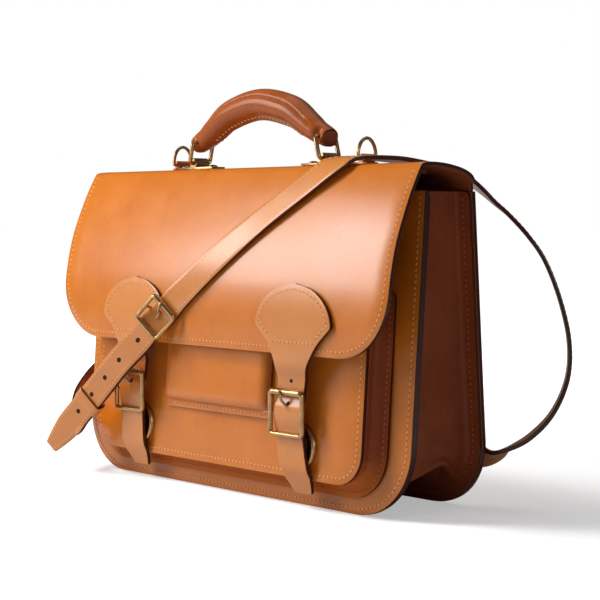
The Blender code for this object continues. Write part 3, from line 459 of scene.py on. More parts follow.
def brass_material():
    """Antique brass: cast, tumbled and lacquered, bright on top with brown tarnish in patches."""
    mat, tree, shader = new_material("cast_antique_brass")
    if tree is None:
        return mat
    place = add_node(tree, "ShaderNodeTexCoord").outputs["Object"]
    tarnish = add_node(tree, "ShaderNodeTexNoise", inputs={
        "Vector": place, "Scale": 1 / 0.007, "Detail": 5.0, "Roughness": 0.6})
    ramp = add_node(tree, "ShaderNodeValToRGB", inputs={"Fac": tarnish.outputs["Fac"]})
    ramp.color_ramp.elements[0].position = 0.33
    ramp.color_ramp.elements[0].color = rgba(colours().brass_dark)
    ramp.color_ramp.elements[1].position = 0.58
    ramp.color_ramp.elements[1].color = rgba(colours().brass)
    tree.links.new(ramp.outputs["Color"], shader.inputs["Base Color"])
    gloss = add_node(tree, "ShaderNodeMapRange", inputs={
        "Value": tarnish.outputs["Fac"], "From Min": 0.3, "From Max": 0.7, "To Min": 0.36, "To Max": 0.26})
    tree.links.new(gloss.outputs["Result"], shader.inputs["Roughness"])
    shader.inputs["Metallic"].default_value = 1.0
    return mat


def hole_material():
    """Punched hole seen from outside: raw fibre, its dark colour painted shade for the hole's depth."""
    mat, tree, shader = new_material("punched_hole")
    if tree is None:
        return mat
    place = add_node(tree, "ShaderNodeTexCoord").outputs["Object"]
    fibre = add_node(tree, "ShaderNodeTexNoise", inputs={"Vector": place, "Scale": 1 / 0.0008})
    ramp = add_node(tree, "ShaderNodeValToRGB", inputs={"Fac": fibre.outputs["Fac"]})
    ramp.color_ramp.elements[0].color = rgba(linear("#1A0A06"))
    ramp.color_ramp.elements[1].color = rgba(linear("#3A1A10"))
    tree.links.new(ramp.outputs["Color"], shader.inputs["Base Color"])
    shader.inputs["Roughness"].default_value = 0.9
    return mat


def clamp(x):
    return min(1.0, max(0.0, x))


def ease(x):
    """Smooth step from 0 to 1."""
    return x * x * (3 - 2 * x)


def hump(x, middle, spread):
    """Smooth hump of height 1."""
    return math.exp(-((x - middle) / spread) ** 2)


def evenly(start, end, count):
    """Values from start to end in equal steps."""
    return [start + (end - start) * k / count for k in range(count + 1)]


def spline(points, steps):
    """Catmull-Rom curve through points of any dimension."""
    vectors = [Vector(p) for p in points]
    padded = [2 * vectors[0] - vectors[1]] + vectors + [2 * vectors[-1] - vectors[-2]]
    result = []
    for a, b, c, d in zip(padded, padded[1:], padded[2:], padded[3:]):
        for k in range(steps):
            t = k / steps
            result.append(0.5 * (2 * b + (c - a) * t + (2 * a - 5 * b + 4 * c - d) * t * t
                                 + (3 * b - a - 3 * c + d) * t ** 3))
    return result + [vectors[-1]]


def tangents_of(points):
    ends = zip([points[0]] + points[:-1], points[1:] + [points[-1]])
    return [(after - before).normalized() for before, after in ends]


def ribbon(centres, sides, normals):
    """A function from flat leather coordinates (across, along, lift) to space, and the ribbon's length."""
    runs = [0.0]
    for first, second in zip(centres, centres[1:]):
        runs.append(runs[-1] + (second - first).length)

    def place(across, along, lift=0.0):
        low, high = 0, len(runs) - 2
        while low < high:
            middle = (low + high + 1) // 2
            if runs[middle] <= along:
                low = middle
            else:
                high = middle - 1
        share = (along - runs[low]) / max(1e-6, runs[low + 1] - runs[low])
        held = clamp(share)
        side = sides[low].lerp(sides[low + 1], held).normalized()
        normal = normals[low].lerp(normals[low + 1], held).normalized()
        return centres[low].lerp(centres[low + 1], share) + side * across + normal * lift

    return place, runs[-1]


def straight_ribbon(centres):
    """Ribbon whose width lies along X."""
    normals = [X_AXIS.cross(t) * -1 for t in tangents_of(centres)]
    return ribbon(centres, [X_AXIS] * len(centres), normals)


def activate(obj):
    bpy.ops.object.select_all(action="DESELECT")
    obj.select_set(True)
    bpy.context.view_layer.objects.active = obj


def grid_faces(rows, columns, wrap=False, closed=False):
    """Quads between rows of vertices; wrap joins a row's ends, closed the last row to the first."""
    faces = []
    for j in range(rows if closed else rows - 1):
        low, high = j * columns, (j + 1) % rows * columns
        for k in range(columns if wrap else columns - 1):
            i = (k + 1) % columns
            faces.append((low + k, low + i, high + i, high + k))
    return faces


def solid_faces(rows, columns, base=0):
    """Faces of a closed solid made of rings of vertices, numbered from base, with a cap at each end."""
    faces = grid_faces(rows, columns, True)
    faces.append(tuple(reversed(range(columns))))
    faces.append(tuple((rows - 1) * columns + k for k in range(columns)))
    return [tuple(base + i for i in face) for face in faces]


def circle(sides):
    return [2 * math.pi * k / sides for k in range(sides)]


def rounded_corners(half_u, half_v, corner, steps=5):
    """(u, v, angle) round the corners of a rectangle, anticlockwise from the lower right."""
    result = []
    for u, v, start in ((1, -1, -90), (1, 1, 0), (-1, 1, 90), (-1, -1, 180)):
        for k in range(steps + 1):
            angle = math.radians(start + 90 * k / steps)
            result.append((u * (half_u - corner) + corner * math.cos(angle),
                           v * (half_v - corner) + corner * math.sin(angle), angle))
    return result


def mesh_object(name, verts, faces, *looks):
    mesh = bpy.data.meshes.new(name)
    mesh.from_pydata([v * MM for v in verts], [], faces)
    for look in looks:
        mesh.materials.append(look)
    obj = bpy.data.objects.new(name, mesh)
    bpy.context.scene.collection.objects.link(obj)
    return obj


def leather_object(name, verts, faces, look):
    """Mesh with slots for the leather, its cut edges, its thread and its holes."""
    return mesh_object(name, verts, faces, look, edge_material(), thread_material(), hole_material())


def modify(obj, kind, settings):
    """Give an object a modifier and apply it."""
    activate(obj)
    modifier = obj.modifiers.new(kind, kind)
    for key, value in settings.items():
        setattr(modifier, key, value)
    bpy.ops.object.modifier_apply(modifier=kind)


def clean_up(obj, angle=40):
    """Merge doubles, turn faces outwards and smooth everything but the hard edges."""
    activate(obj)
    bpy.ops.object.mode_set(mode="EDIT")
    bpy.ops.mesh.select_all(action="SELECT")
    bpy.ops.mesh.remove_doubles(threshold=0.000005)
    bpy.ops.mesh.normals_make_consistent(inside=False)
    bpy.ops.object.mode_set(mode="OBJECT")
    bpy.ops.object.shade_smooth_by_angle(angle=math.radians(angle))


def join(obj, extras):
    """Join the seams and holes of a piece into its mesh."""
    activate(obj)
    for extra in extras:
        extra.select_set(True)
    bpy.ops.object.join()


def leather_sheet(name, place, stations, width, thickness, look, columns=12, lift=0.0):
    """Sheet of leather cut to width(along) at each station, with dark rounded edges."""
    verts = []
    for along in stations:
        half = width(along) / 2
        verts += [place(half * (2 * k / columns - 1), along, lift) for k in range(columns + 1)]
    faces = grid_faces(len(stations), columns + 1)
    obj = leather_object(name, verts, faces, look)
    modify(obj, "SOLIDIFY", {"thickness": thickness * MM, "offset": 0.0, "use_even_offset": False,
                             "material_offset_rim": 1})
    modify(obj, "BEVEL", {"width": sizes().edge_round, "segments": 2, "limit_method": "ANGLE",
                          "angle_limit": math.radians(55)})
    clean_up(obj)
    return obj


def resample(points, pitch):
    """Evenly spaced (point, tangent) pairs along a polyline."""
    result = []
    left = pitch / 2
    for first, second in zip(points, points[1:]):
        step = second - first
        length = step.length
        if length < 1e-6:
            continue
        at = left
        while at <= length:
            result.append((first + step * (at / length), step / length))
            at += pitch
        left = at - length
    return result


# A stitch along its length: (place, thickness, rise), and the dark hole after it, painted shade: (rise,
# width)
STITCH_SHAPE = ((-1.0, 0.4, -0.7), (-0.62, 0.9, -0.1), (0.0, 1.0, 0.1), (0.62, 0.9, -0.1), (1.0, 0.4, -0.7))
STITCH_HOLE = ((-0.3, 0.5), (0.05, 0.62))
STITCH_SIDES = 6
# A punched hole from its rim inwards: (width, rise)
HOLE_SHAPE = ((1.0, 0.12), (0.82, 0.16), (0.7, -0.5))
HOLE_SIDES = 12


def seam(name, place, path, lift, thread="waxed_thread"):
    """Row of saddle stitches along a flat path, lying on the leather at lift, with a dark hole after each
    whose darkness is painted shade.
    """
    points = [place(a, b, lift) for a, b in path]
    outs = [(place(a, b, lift + 1) - place(a, b, lift)).normalized() for a, b in path]
    pitch = sizes().stitch_pitch / MM
    half = pitch * 0.39
    radius = sizes().thread / MM / 2
    verts, faces, dark = [], [], []
    for spot, tangent in resample(points, pitch):
        nearest = min(range(len(points)), key=lambda i: (points[i] - spot).length_squared)
        out = outs[nearest]
        across = tangent.cross(out).normalized()
        along = (tangent + across * 0.16).normalized()
        across = along.cross(out).normalized()
        faces += solid_faces(len(STITCH_SHAPE), STITCH_SIDES, len(verts))
        for t, thick, rise in STITCH_SHAPE:
            centre = spot + along * t * half + out * rise * radius
            for angle in circle(STITCH_SIDES):
                side = across * math.cos(angle) + out * math.sin(angle) * 0.6
                verts.append(centre + side * radius * thick)
        hole = solid_faces(len(STITCH_HOLE), STITCH_SIDES, len(verts))
        dark += range(len(faces), len(faces) + len(hole))
        faces += hole
        for rise, grow in STITCH_HOLE:
            for angle in circle(STITCH_SIDES):
                reach = (across * math.cos(angle) + along * math.sin(angle)) * radius * grow
                verts.append(spot + tangent * pitch / 2 + reach + out * rise)
    obj = mesh_object(name, verts, faces, thread_material(thread), hole_material())
    for index in dark:
        obj.data.polygons[index].material_index = 1
    clean_up(obj, 60)
    return obj


def punched_holes(name, place, spots, lift, radius=1.7):
    """Shallow dishes where the strap is punched, dark with painted shade for the holes' depth."""
    verts, faces = [], []
    for across, along in spots:
        faces += solid_faces(len(HOLE_SHAPE), HOLE_SIDES, len(verts))
        for grow, rise in HOLE_SHAPE:
            for angle in circle(HOLE_SIDES):
                verts.append(place(across + radius * grow * math.cos(angle),
                                   along + radius * grow * math.sin(angle), lift + rise))
    obj = mesh_object(name, verts, faces, hole_material())
    clean_up(obj, 30)
    return obj


def tube(name, points, radii, look, closed=False, sides=14):
    """Round wire along a path lying in one plane, with a radius at each point."""
    if closed:
        ends = zip(points[-1:] + points[:-1], points[1:] + points[:1])
        tangents = [(after - before).normalized() for before, after in ends]
    else:
        tangents = tangents_of(points)
    plane = Vector((0, 0, 0))
    for first, second in zip(tangents, tangents[1:]):
        plane += first.cross(second)
    plane.normalize()
    verts = []
    for point, tangent, radius in zip(points, tangents, radii):
        outward = tangent.cross(plane).normalized()
        for angle in circle(sides):
            verts.append(point + outward * radius * math.cos(angle) + plane * radius * math.sin(angle))
    rings = len(points)
    faces = grid_faces(rings, sides, True, True) if closed else solid_faces(rings, sides)
    obj = mesh_object(name, verts, faces, look)
    clean_up(obj, 50)
    return obj


def turned(name, profile, centre, axis, look, sides=40):
    """Turned solid from (along, radius) pairs."""
    axis = axis.normalized()
    across = axis.orthogonal().normalized()
    other = axis.cross(across)
    verts = []
    for along, radius in profile:
        for angle in circle(sides):
            outward = across * math.cos(angle) + other * math.sin(angle)
            verts.append(centre + axis * along + outward * radius)
    faces = solid_faces(len(profile), sides)
    obj = mesh_object(name, verts, faces, look)
    clean_up(obj, 35)
    return obj


def darken_inside(obj):
    """Faces turned to the bag's inside are the leather's flesh side, given the gusset's darker leather as
    painted shade.
    """
    flesh = len(obj.data.materials)
    obj.data.materials.append(gusset_leather())
    inside = Vector((0, 40, 150)) * MM
    for face in obj.data.polygons:
        if face.material_index == 0 and face.normal.dot(inside - face.center) > 0:
            face.material_index = flesh


def finish_piece(obj, body, node):
    """Hide the CAD node that a piece stands for and ride the piece on its body."""
    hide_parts(node)
    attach(obj, body)


def dress_node(node, look):
    """Give a CAD node that shows as it is its finish."""
    materials = frame["nodes"][node].data.materials
    materials.clear()
    materials.append(look)


def corner_width(width, radius, height):
    """Width of a panel with round lower corners at a height over its lower edge."""
    if height >= radius:
        return width
    return width - 2 * (radius - math.sqrt(max(0.0, radius ** 2 - (radius - height) ** 2)))


def panel_heights(top, radius):
    """Heights above a panel's bottom edge: dense round the corner, even above it."""
    arc = [radius * (1 - math.cos(math.pi / 2 * k / 14)) for k in range(15)]
    return arc + evenly(radius, top, 10)[1:]


def u_seam(width, radius, top, inset):
    """Flat path of a seam down one side, round the bottom and up the other."""
    half, turn = width / 2 - inset, radius - inset
    left = [(-half, b) for b in evenly(top, radius, 20)[:-1]]
    for k in range(13):
        angle = math.pi / 2 * k / 12
        left.append((-half + turn - turn * math.cos(angle), radius - turn * math.sin(angle)))
    right = [(-a, b) for a, b in reversed(left)]
    bridge = [(a, inset) for a in evenly(left[-1][0], right[0][0], 40)[1:-1]]
    return left + bridge + right


def front_outer(z):
    return LEAN * z - PANEL_THICKNESS / 2


def front_inner(z):
    return LEAN * z + PANEL_THICKNESS / 2


def back_outer(z):
    return DEPTH + PANEL_THICKNESS / 2 - LEAN * z


def back_inner(z):
    return DEPTH - PANEL_THICKNESS / 2 - LEAN * z


def pocket_outer(z):
    return front_outer(z) - POCKET_DEPTH


def upright_place(middle, bottom, facing):
    """Flat coordinates of a leaning panel: across is X, along is height over its bottom edge."""
    def place(across, along, lift=0.0):
        z = bottom + along
        return Vector((across, middle(z) + facing * lift, z))
    return place


def u_path(half_width, bottom, top, radius, steps):
    """Points down the left side, round the bottom and up the right, each with its inward normal."""
    path = [(Vector((-half_width, 0, z)), X_AXIS.copy()) for z in evenly(top, bottom + radius, 14)[:-1]]
    inner = Vector((-half_width + radius, 0, bottom + radius))
    for k in range(steps + 1):
        turn = math.pi / 2 * k / steps
        inward = Vector((math.cos(turn), 0, math.sin(turn)))
        path.append((inner - radius * inward, inward))
    path += [(Vector((x, 0, bottom)), Z_AXIS.copy()) for x in evenly(radius - half_width, 0, 8)[1:-1]]
    mirrored = [(Vector((-p.x, 0, p.z)), Vector((-n.x, 0, n.z))) for p, n in reversed(path)]
    return path + [(Vector((0, 0, bottom)), Z_AXIS.copy())] + mirrored


def folded_strip(name, path, section, thickness, look):
    """Gusset: a section of (inward, y) pairs for each station of a U path, given a thickness."""
    verts = []
    for index, (point, inward) in enumerate(path):
        pairs = section(index, point, inward)
        for depth, y in pairs:
            spot = point + inward * depth
            verts.append(Vector((spot.x, y, spot.z)))
    faces = grid_faces(len(path), len(pairs))
    obj = leather_object(name, verts, faces, look)
    modify(obj, "SUBSURF", {"levels": 1, "render_levels": 1})
    modify(obj, "SOLIDIFY", {"thickness": thickness * MM, "offset": 0.0, "material_offset_rim": 1})
    clean_up(obj, 50)
    return obj


class BRIEFCASE_OT_body(bpy.types.Operator):
    """Front and back panels with the folded gusset between them"""
    bl_idname = "briefcase.body"
    bl_label = "Body"

    def execute(self, context):
        inset = sizes().seam_inset / MM
        for name, facing, middle in (("front_panel", -1, lambda z: LEAN * z),
                                     ("back_panel", 1, lambda z: DEPTH - LEAN * z)):
            place = upright_place(middle, 0.0, facing)
            panel = leather_sheet(name + "_leather", place, panel_heights(PANEL_HEIGHT, PANEL_CORNER),
                                  lambda h: corner_width(WIDTH, PANEL_CORNER, h), PANEL_THICKNESS - 0.2,
                                  tan_leather())
            darken_inside(panel)
            path = u_seam(WIDTH, PANEL_CORNER, PANEL_HEIGHT - SEAM_END, inset)
            join(panel, [seam(name + "_seam", place, path, PANEL_THICKNESS / 2)])
            finish_piece(panel, "case", name)
        self.gusset()
        return {"FINISHED"}

    def gusset(self):
        path = u_path(WIDTH / 2 - 0.5, 0.5, PANEL_HEIGHT, PANEL_CORNER, 56)
        half = GUSSET_THICKNESS / 2

        def section(index, point, inward):
            """Flat flanges on the panels and a web that folds in below a peaked crease at the corners."""
            dent = DENT_DEPTH * hump(point.z, DENT_HEIGHT, DENT_SPREAD)
            rows = [(0, 0.0), (6, 0.0), (GUSSET_FLANGE - 2, 0.0)]
            for share in evenly(0, 1, 20)[1:-1]:
                bow = math.sin(math.pi * share)
                peak = min(share / CREASE_MIDDLE, (1 - share) / (1 - CREASE_MIDDLE))
                crease = CREASE_ENDS - CREASE_PEAK * peak
                down = ease(clamp((inward.z - crease) / CREASE_SOFTNESS))
                ridge = (RIDGE_ENDS + RIDGE_PEAK * peak) * hump(inward.z, crease, RIDGE_SPREAD)
                slope = SLOPE_DEPTH * hump(point.z, SLOPE_HEIGHT - SLOPE_FALL * share, SLOPE_SPREAD)
                fold = (GUSSET_SIDE_FOLD + dent - slope) * bow - ridge
                fold += GUSSET_BOTTOM_FOLD * down * (1 - abs(2 * share - 1)) ** 0.8
                rows.append((GUSSET_FLANGE + fold, share))
            rows += [(GUSSET_FLANGE - 2, 1.0), (6, 1.0), (0, 1.0)]
            result = []
            for depth, share in rows:
                spot = point + inward * depth
                low = front_inner(spot.z) + half + GUSSET_GAP
                high = back_inner(spot.z) - half - GUSSET_GAP
                result.append((depth, low + (high - low) * share))
            return result

        gusset = folded_strip("main_gusset_leather", path, section, GUSSET_THICKNESS, gusset_leather())
        flange = upright_place(lambda z: back_inner(z) - GUSSET_GAP - GUSSET_THICKNESS, 0.0, -1)
        rows = u_seam(WIDTH, PANEL_CORNER, PANEL_HEIGHT - SEAM_END, GUSSET_SEAM_INSET)
        join(gusset, [seam("gusset_seam", flange, rows, 0.0, "waxed_thread_painted_shade")])
        finish_piece(gusset, "case", "main_gusset")


class BRIEFCASE_OT_pocket(bpy.types.Operator):
    """Front pocket, its gusset and the slip pocket sewn on it"""
    bl_idname = "briefcase.pocket"
    bl_label = "Front pocket"

    def execute(self, context):
        inset = sizes().seam_inset / MM
        height = POCKET_TOP - POCKET_BOTTOM

        def middle(z):
            return pocket_outer(z) + POCKET_THICKNESS / 2

        place = upright_place(middle, POCKET_BOTTOM, -1)
        panel = leather_sheet("pocket_leather", place, panel_heights(height, POCKET_CORNER),
                              lambda h: corner_width(POCKET_WIDTH, POCKET_CORNER, h), POCKET_THICKNESS,
                              tan_leather())
        path = u_seam(POCKET_WIDTH, POCKET_CORNER, height - POCKET_SEAM_END, inset)
        join(panel, [seam("pocket_seam", place, path, POCKET_THICKNESS / 2)])
        finish_piece(panel, "case", "pocket_panel")
        self.gusset()
        self.slip()
        return {"FINISHED"}

    def gusset(self):
        path = u_path(POCKET_WIDTH / 2, POCKET_BOTTOM, POCKET_TOP, POCKET_CORNER, 16)

        def section(index, point, inward):
            """Flange on the front panel, a web ruffled round the corners and a flange behind the pocket."""
            round_corner = 0.05 < inward.z < 0.999
            ruffle = POCKET_RUFFLE * math.sin(index * 2.1) if round_corner else 0.0
            rows = []
            for depth, share in ((-POCKET_FLANGE, 0.0), (-3, 0.0), (0.6, 0.12), (3.0 + ruffle, 0.35),
                                 (3.6 + ruffle, 0.6), (1.6, 0.88), (3, 1.0), (POCKET_FLANGE, 1.0)):
                spot = point + inward * depth
                back = front_outer(spot.z) - POCKET_GUSSET_SET
                front = pocket_outer(spot.z) + POCKET_THICKNESS + POCKET_GUSSET_SET
                rows.append((depth, back + (front - back) * share))
            return rows

        # Tan near the floor and darker above, the darker colour being painted shade
        gusset = folded_strip("pocket_gusset_leather", path, section, POCKET_GUSSET_THICKNESS,
                              gusset_leather("pocket_gusset_painted_shade_leather", colours().leather_deep))
        flange = upright_place(front_outer, POCKET_BOTTOM - POCKET_FLANGE, -1)
        rows = u_seam(POCKET_WIDTH + 2 * POCKET_FLANGE, POCKET_CORNER + POCKET_FLANGE,
                      POCKET_TOP - POCKET_BOTTOM + POCKET_FLANGE - POCKET_SEAM_END, POCKET_GUSSET_INSET)
        lift = POCKET_GUSSET_SET + POCKET_GUSSET_THICKNESS / 2
        join(gusset, [seam("pocket_gusset_seam", flange, rows, lift, "waxed_thread_painted_shade")])
        finish_piece(gusset, "case", "pocket_gusset")

    def slip(self):
        half = SLIP_WIDTH / 2
        height = SLIP_TOP - SLIP_BOTTOM

        def swell(across, along):
            sideways = clamp((half - abs(across)) / SLIP_SIDE_ROUND)
            upward = clamp((along - SLIP_WELT) / SLIP_FOOT_ROUND)
            rounded = math.sqrt(1 - (1 - sideways) ** 2) * math.sqrt(1 - (1 - upward) ** 2)
            return SLIP_FLAT + SLIP_SWELL * rounded

        def place(across, along, lift=0.0):
            z = SLIP_BOTTOM + along
            return Vector((across, pocket_outer(z) - 0.3 - swell(across, along) - lift, z))

        stations = [0, 2, 4, 5.5, 6.4, 6.7, 7.2, 8, 9, 10.5, 12.5, 16, 24, 36, 50, height]
        patch = leather_sheet("slip_pocket_leather", place, stations, lambda s: SLIP_WIDTH,
                              SLIP_THICKNESS, tan_leather(), 80)
        inner = half - SLIP_SIDE_ROUND
        welt = [(a, SLIP_WELT_SEAM) for a in evenly(-inner, inner, 60)]
        join(patch, [seam("slip_welt_seam", place, welt, SLIP_THICKNESS / 2)])
        finish_piece(patch, "case", "slip_pocket")


FLAP_PLACE, FLAP_LENGTH = straight_ribbon([Vector((0, p.x, p.y)) for p in spline(FLAP_OUTLINE, 8)])


class BRIEFCASE_OT_flap(bpy.types.Operator):
    """Flap with its sewn border, the bend at its hinge and the stiffener under its top"""
    bl_idname = "briefcase.flap"
    bl_label = "Flap"

    def execute(self, context):
        inset = sizes().seam_inset / MM

        def width(along):
            return corner_width(FLAP_WIDTH, FLAP_CORNER, FLAP_LENGTH - along)

        stations = evenly(0, FLAP_LENGTH - FLAP_CORNER, 60)
        stations += [FLAP_LENGTH - h for h in reversed(panel_heights(60, FLAP_CORNER)[:14])]
        flap = leather_sheet("flap_leather", FLAP_PLACE, stations, width, FLAP_THICKNESS, tan_leather(), 24,
                             -FLAP_THICKNESS / 2)
        darken_inside(flap)
        border = u_seam(FLAP_WIDTH, FLAP_CORNER, FLAP_LENGTH - SEAM_END, inset)
        path = [(a, FLAP_LENGTH - h) for a, h in border]
        join(flap, [seam("flap_seam", FLAP_PLACE, path, 0.0)])
        finish_piece(flap, "flap_body", "flap")
        self.bend()
        # The stiffener takes the gusset's darker leather, painted shade
        dress_node("top_stiffener", gusset_leather())
        return {"FINISHED"}

    def bend(self):
        top = FLAP_PLACE(0, 0, -FLAP_THICKNESS / 2)
        low = Vector((0, (back_inner(PANEL_HEIGHT) + back_outer(PANEL_HEIGHT)) / 2, PANEL_HEIGHT))
        centres = spline([low, (low + top) / 2 + Vector((0, 0.3, 0)), top], 6)
        place, length = straight_ribbon(centres)
        stations = evenly(0, length, 10)
        bend = leather_sheet("flap_bend_leather", place, stations, lambda s: WIDTH - 3, BEND_THICKNESS,
                             tan_leather())
        darken_inside(bend)
        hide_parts("flap_bend")
        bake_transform(bend)


BELL_CURVE = spline(BELL_SIDE, 6)


def strap_width(z):
    """Bell on the flap, straight through the buckle, tapered tip."""
    corner = BELL_SIDE[0][0]
    if z >= corner:
        up = (z - corner) / (BELL_TOP - corner)
        return BELL_SIDE[0][1] * math.sqrt(max(0.002, 1 - up * up))
    for first, second in zip(BELL_CURVE, BELL_CURVE[1:]):
        if z >= second.x:
            return first.y + (second.y - first.y) * (first.x - z) / (first.x - second.x)
    taper = STRAP_TIP + STRAP_TAPER
    if z < taper:
        return STRAP_WIDTH * (0.62 + 0.38 * (z - STRAP_TIP) / (taper - STRAP_TIP))
    return STRAP_WIDTH


def inset_path(outline, inset):
    """A flat path moved inwards; the inside is on the right of its direction as seen from outside."""
    result = []
    for before, point, after in zip(outline[:1] + outline[:-1], outline, outline[1:] + outline[-1:]):
        run = (Vector(after) - Vector(before)).normalized()
        result.append((point[0] - run.y * inset, point[1] + run.x * inset))
    return result


def strap_x(side, z):
    """Middle of a flap strap at a height."""
    bell, buckle, tip = STRAP_SHIFTS[side]
    return side * STRAP_X + stepped(z, [(BELL_MIDDLE, bell), (BAR_Z, buckle), (STRAP_TIP, tip)])


def flap_strap_ribbon(side):
    """Strap middle line from the bell's top to the tip, woven through the buckle."""
    low = BUCKLE_BOTTOM + BUCKLE_RISE[side]
    bar = BAR_Z + BUCKLE_RISE[side]
    lift = STRAP_THICKNESS / 2 + 0.2
    bottom = FLAP_OUTLINE[-1][1]
    under_top = BUCKLE_Y + 4.3
    over = BUCKLE_Y + BAR_SET - 2.8
    behind = BUCKLE_Y + 3.6
    top = low + BUCKLE_HEIGHT
    points = [FLAP_PLACE(0, FLAP_LENGTH - (z - bottom) * 1.012, lift)
              for z in (BELL_TOP, 160, 150, 138, 126, bottom)]
    hang = [(FLAP_OUTLINE[-1][0] - lift + 1.0, bottom - 9), (under_top - 1.2, top + 9), (under_top, top + 1),
            (under_top, top - 6), (over, bar + 4), (over, bar - 4), (behind, low + 5),
            (behind, low - 3), (behind + 0.1, 37), (behind + 0.8, 30), (behind + 3.2, 24.5),
            (behind + 6.2, 18.5), (behind + 9.0, STRAP_TIP)]
    points += [Vector((0, y, z)) for y, z in hang]
    return straight_ribbon([p + X_AXIS * strap_x(side, p.z) for p in spline(points, 6)])


class BRIEFCASE_OT_flap_straps(bpy.types.Operator):
    """Closing straps with bell-shaped sewn tops and punched holes"""
    bl_idname = "briefcase.flap_straps"
    bl_label = "Flap straps"

    def execute(self, context):
        for side, word in SIDES:
            place, length = flap_strap_ribbon(side)

            def width(along):
                return strap_width(place(0, along).z)

            crown = [0.25 * k * k for k in range(9)]
            stations = crown + evenly(crown[-1], length, 90)[1:]
            strap = leather_sheet("flap_strap_" + word + "_leather", place, stations, width, STRAP_THICKNESS,
                                  strap_leather(), 20)
            bell = [s for s in stations if place(0, s).z > BELL_FOOT]
            outline = [(-width(s) / 2, s) for s in reversed(bell)] + [(width(s) / 2, s) for s in bell]
            path = inset_path(outline, BELL_SEAM_INSET)
            row = [(a, bell[-1]) for a in evenly(path[0][0], path[-1][0], 20)]
            extras = [seam("bell_seam", place, path, STRAP_THICKNESS / 2),
                      seam("bell_foot_seam", place, row, STRAP_THICKNESS / 2)]
            steps = evenly(0, length, 600)
            spots = []
            for z in (UPPER_HOLE, BAR_Z + BUCKLE_RISE[side] + 7):
                spots.append((0.0, min(steps, key=lambda s: abs(place(0, s).z - z))))
            extras.append(punched_holes("strap_holes", place, spots, STRAP_THICKNESS / 2))
            join(strap, extras)
            finish_piece(strap, "flap_body", "flap_strap_" + word)
        return {"FINISHED"}


def buckle_frame(name, place, width, height, side, top, bar_set, look):
    """Cast frame: rounded loop, thicker along its top bar, with a centre bar bowed back behind the strap."""
    corner = BUCKLE_CORNER
    half_u, half_v = width / 2 - side, height / 2 - side
    pairs = [(u, v) for u, v, _ in rounded_corners(half_u, half_v, corner)]
    # The top bar's straight run comes after the two right-hand corners.
    middle = len(pairs) // 2
    pairs[middle:middle] = [((half_u - corner) * (1 - k / 3), half_v) for k in range(1, 6)]
    points = [place(u, v, 0) for u, v in pairs]
    radii = [side + (top - side) * max(0.0, (v - half_v + corner) / corner) for _, v in pairs]
    loop = tube(name, points, radii, look, True, 14)
    bow = [(-1.0, 0.0), (-0.92, 0.35), (-0.82, 0.85), (-0.7, 1.0), (0.0, 1.0), (0.7, 1.0), (0.82, 0.85),
           (0.92, 0.35), (1.0, 0.0)]
    bar = [place(half_u * share, 0, bar_set * set_back) for share, set_back in bow]
    join(loop, [tube(name + "_bar", bar, [BAR_WIRE] * len(bar), look, False, 12)])
    return loop


def prong(name, place, bar_set, reach, top, look):
    """Tongue hooked under the centre bar and through the strap, its tip resting on the top bar."""
    pairs = []
    for k in range(5):
        angle = math.radians(208 + 13 * k)
        pairs.append((PRONG_HOOK * math.cos(angle), bar_set + PRONG_HOOK * math.sin(angle)))
    rest = -top - 0.9
    pairs += [(4.0, bar_set - PRONG_HOOK), (reach * 0.62, rest + 1.0), (reach, rest),
              (reach + 1.8, rest + 0.5)]
    radii = [0.95] * 5 + [1.05, 1.1, 1.05, 0.6]
    return tube(name, [place(-0.22 * max(0.0, v), v, w) for v, w in pairs], radii, look, False, 10)


class BRIEFCASE_OT_buckles(bpy.types.Operator):
    """Centre-bar buckles with their prongs, round catches and the snap plates behind the straps"""
    bl_idname = "briefcase.buckles"
    bl_label = "Buckles and clasps"

    def execute(self, context):
        brass = brass_material()
        for side, word in SIDES:
            centre = Vector((strap_x(side, BAR_Z), BUCKLE_Y, BAR_Z + BUCKLE_RISE[side]))

            def place(u, v, w):
                return centre + Vector((u, w, v))

            loop = buckle_frame("buckle_" + word + "_brass", place, BUCKLE_WIDTH, BUCKLE_HEIGHT, BUCKLE_WIRE,
                                BUCKLE_TOP_WIRE, BAR_SET, brass)
            finish_piece(loop, "flap_body", "buckle_" + word)
            tongue = prong("prong_" + word + "_brass", place, BAR_SET, PRONG_REACH, BUCKLE_TOP_WIRE, brass)
            finish_piece(tongue, "prong_" + word + "_body", "prong_" + word)
            slope = Vector((0, -1, LEAN)).normalized()
            base = Vector((side * STRAP_X, pocket_outer(CATCH_Z) - 0.2, CATCH_Z))
            rim = CATCH_RADIUS
            profile = [(0, rim), (2.4, rim), (3.1, rim - 0.4), (3.5, rim - 1.2), (3.4, rim - 2.2),
                       (2.6, rim - 3.0), (1.2, rim - 3.4), (1.1, 6.0), (1.5, 1.5)]
            disc = turned("catch_" + word + "_brass", profile, base, slope, brass)
            finish_piece(disc, "case", "catch_" + word)
            dress_node("clasp_" + word, brass)
        return {"FINISHED"}


def ring_top(side):
    """Middle of the bar of a handle ring that the handle turns on."""
    lean = math.radians(RING_LEAN)
    return Vector((side * (PLATE_X - RING_REACH * math.sin(lean)), HANDLE_Y,
                   RING_PIVOT + RING_REACH * math.cos(lean)))


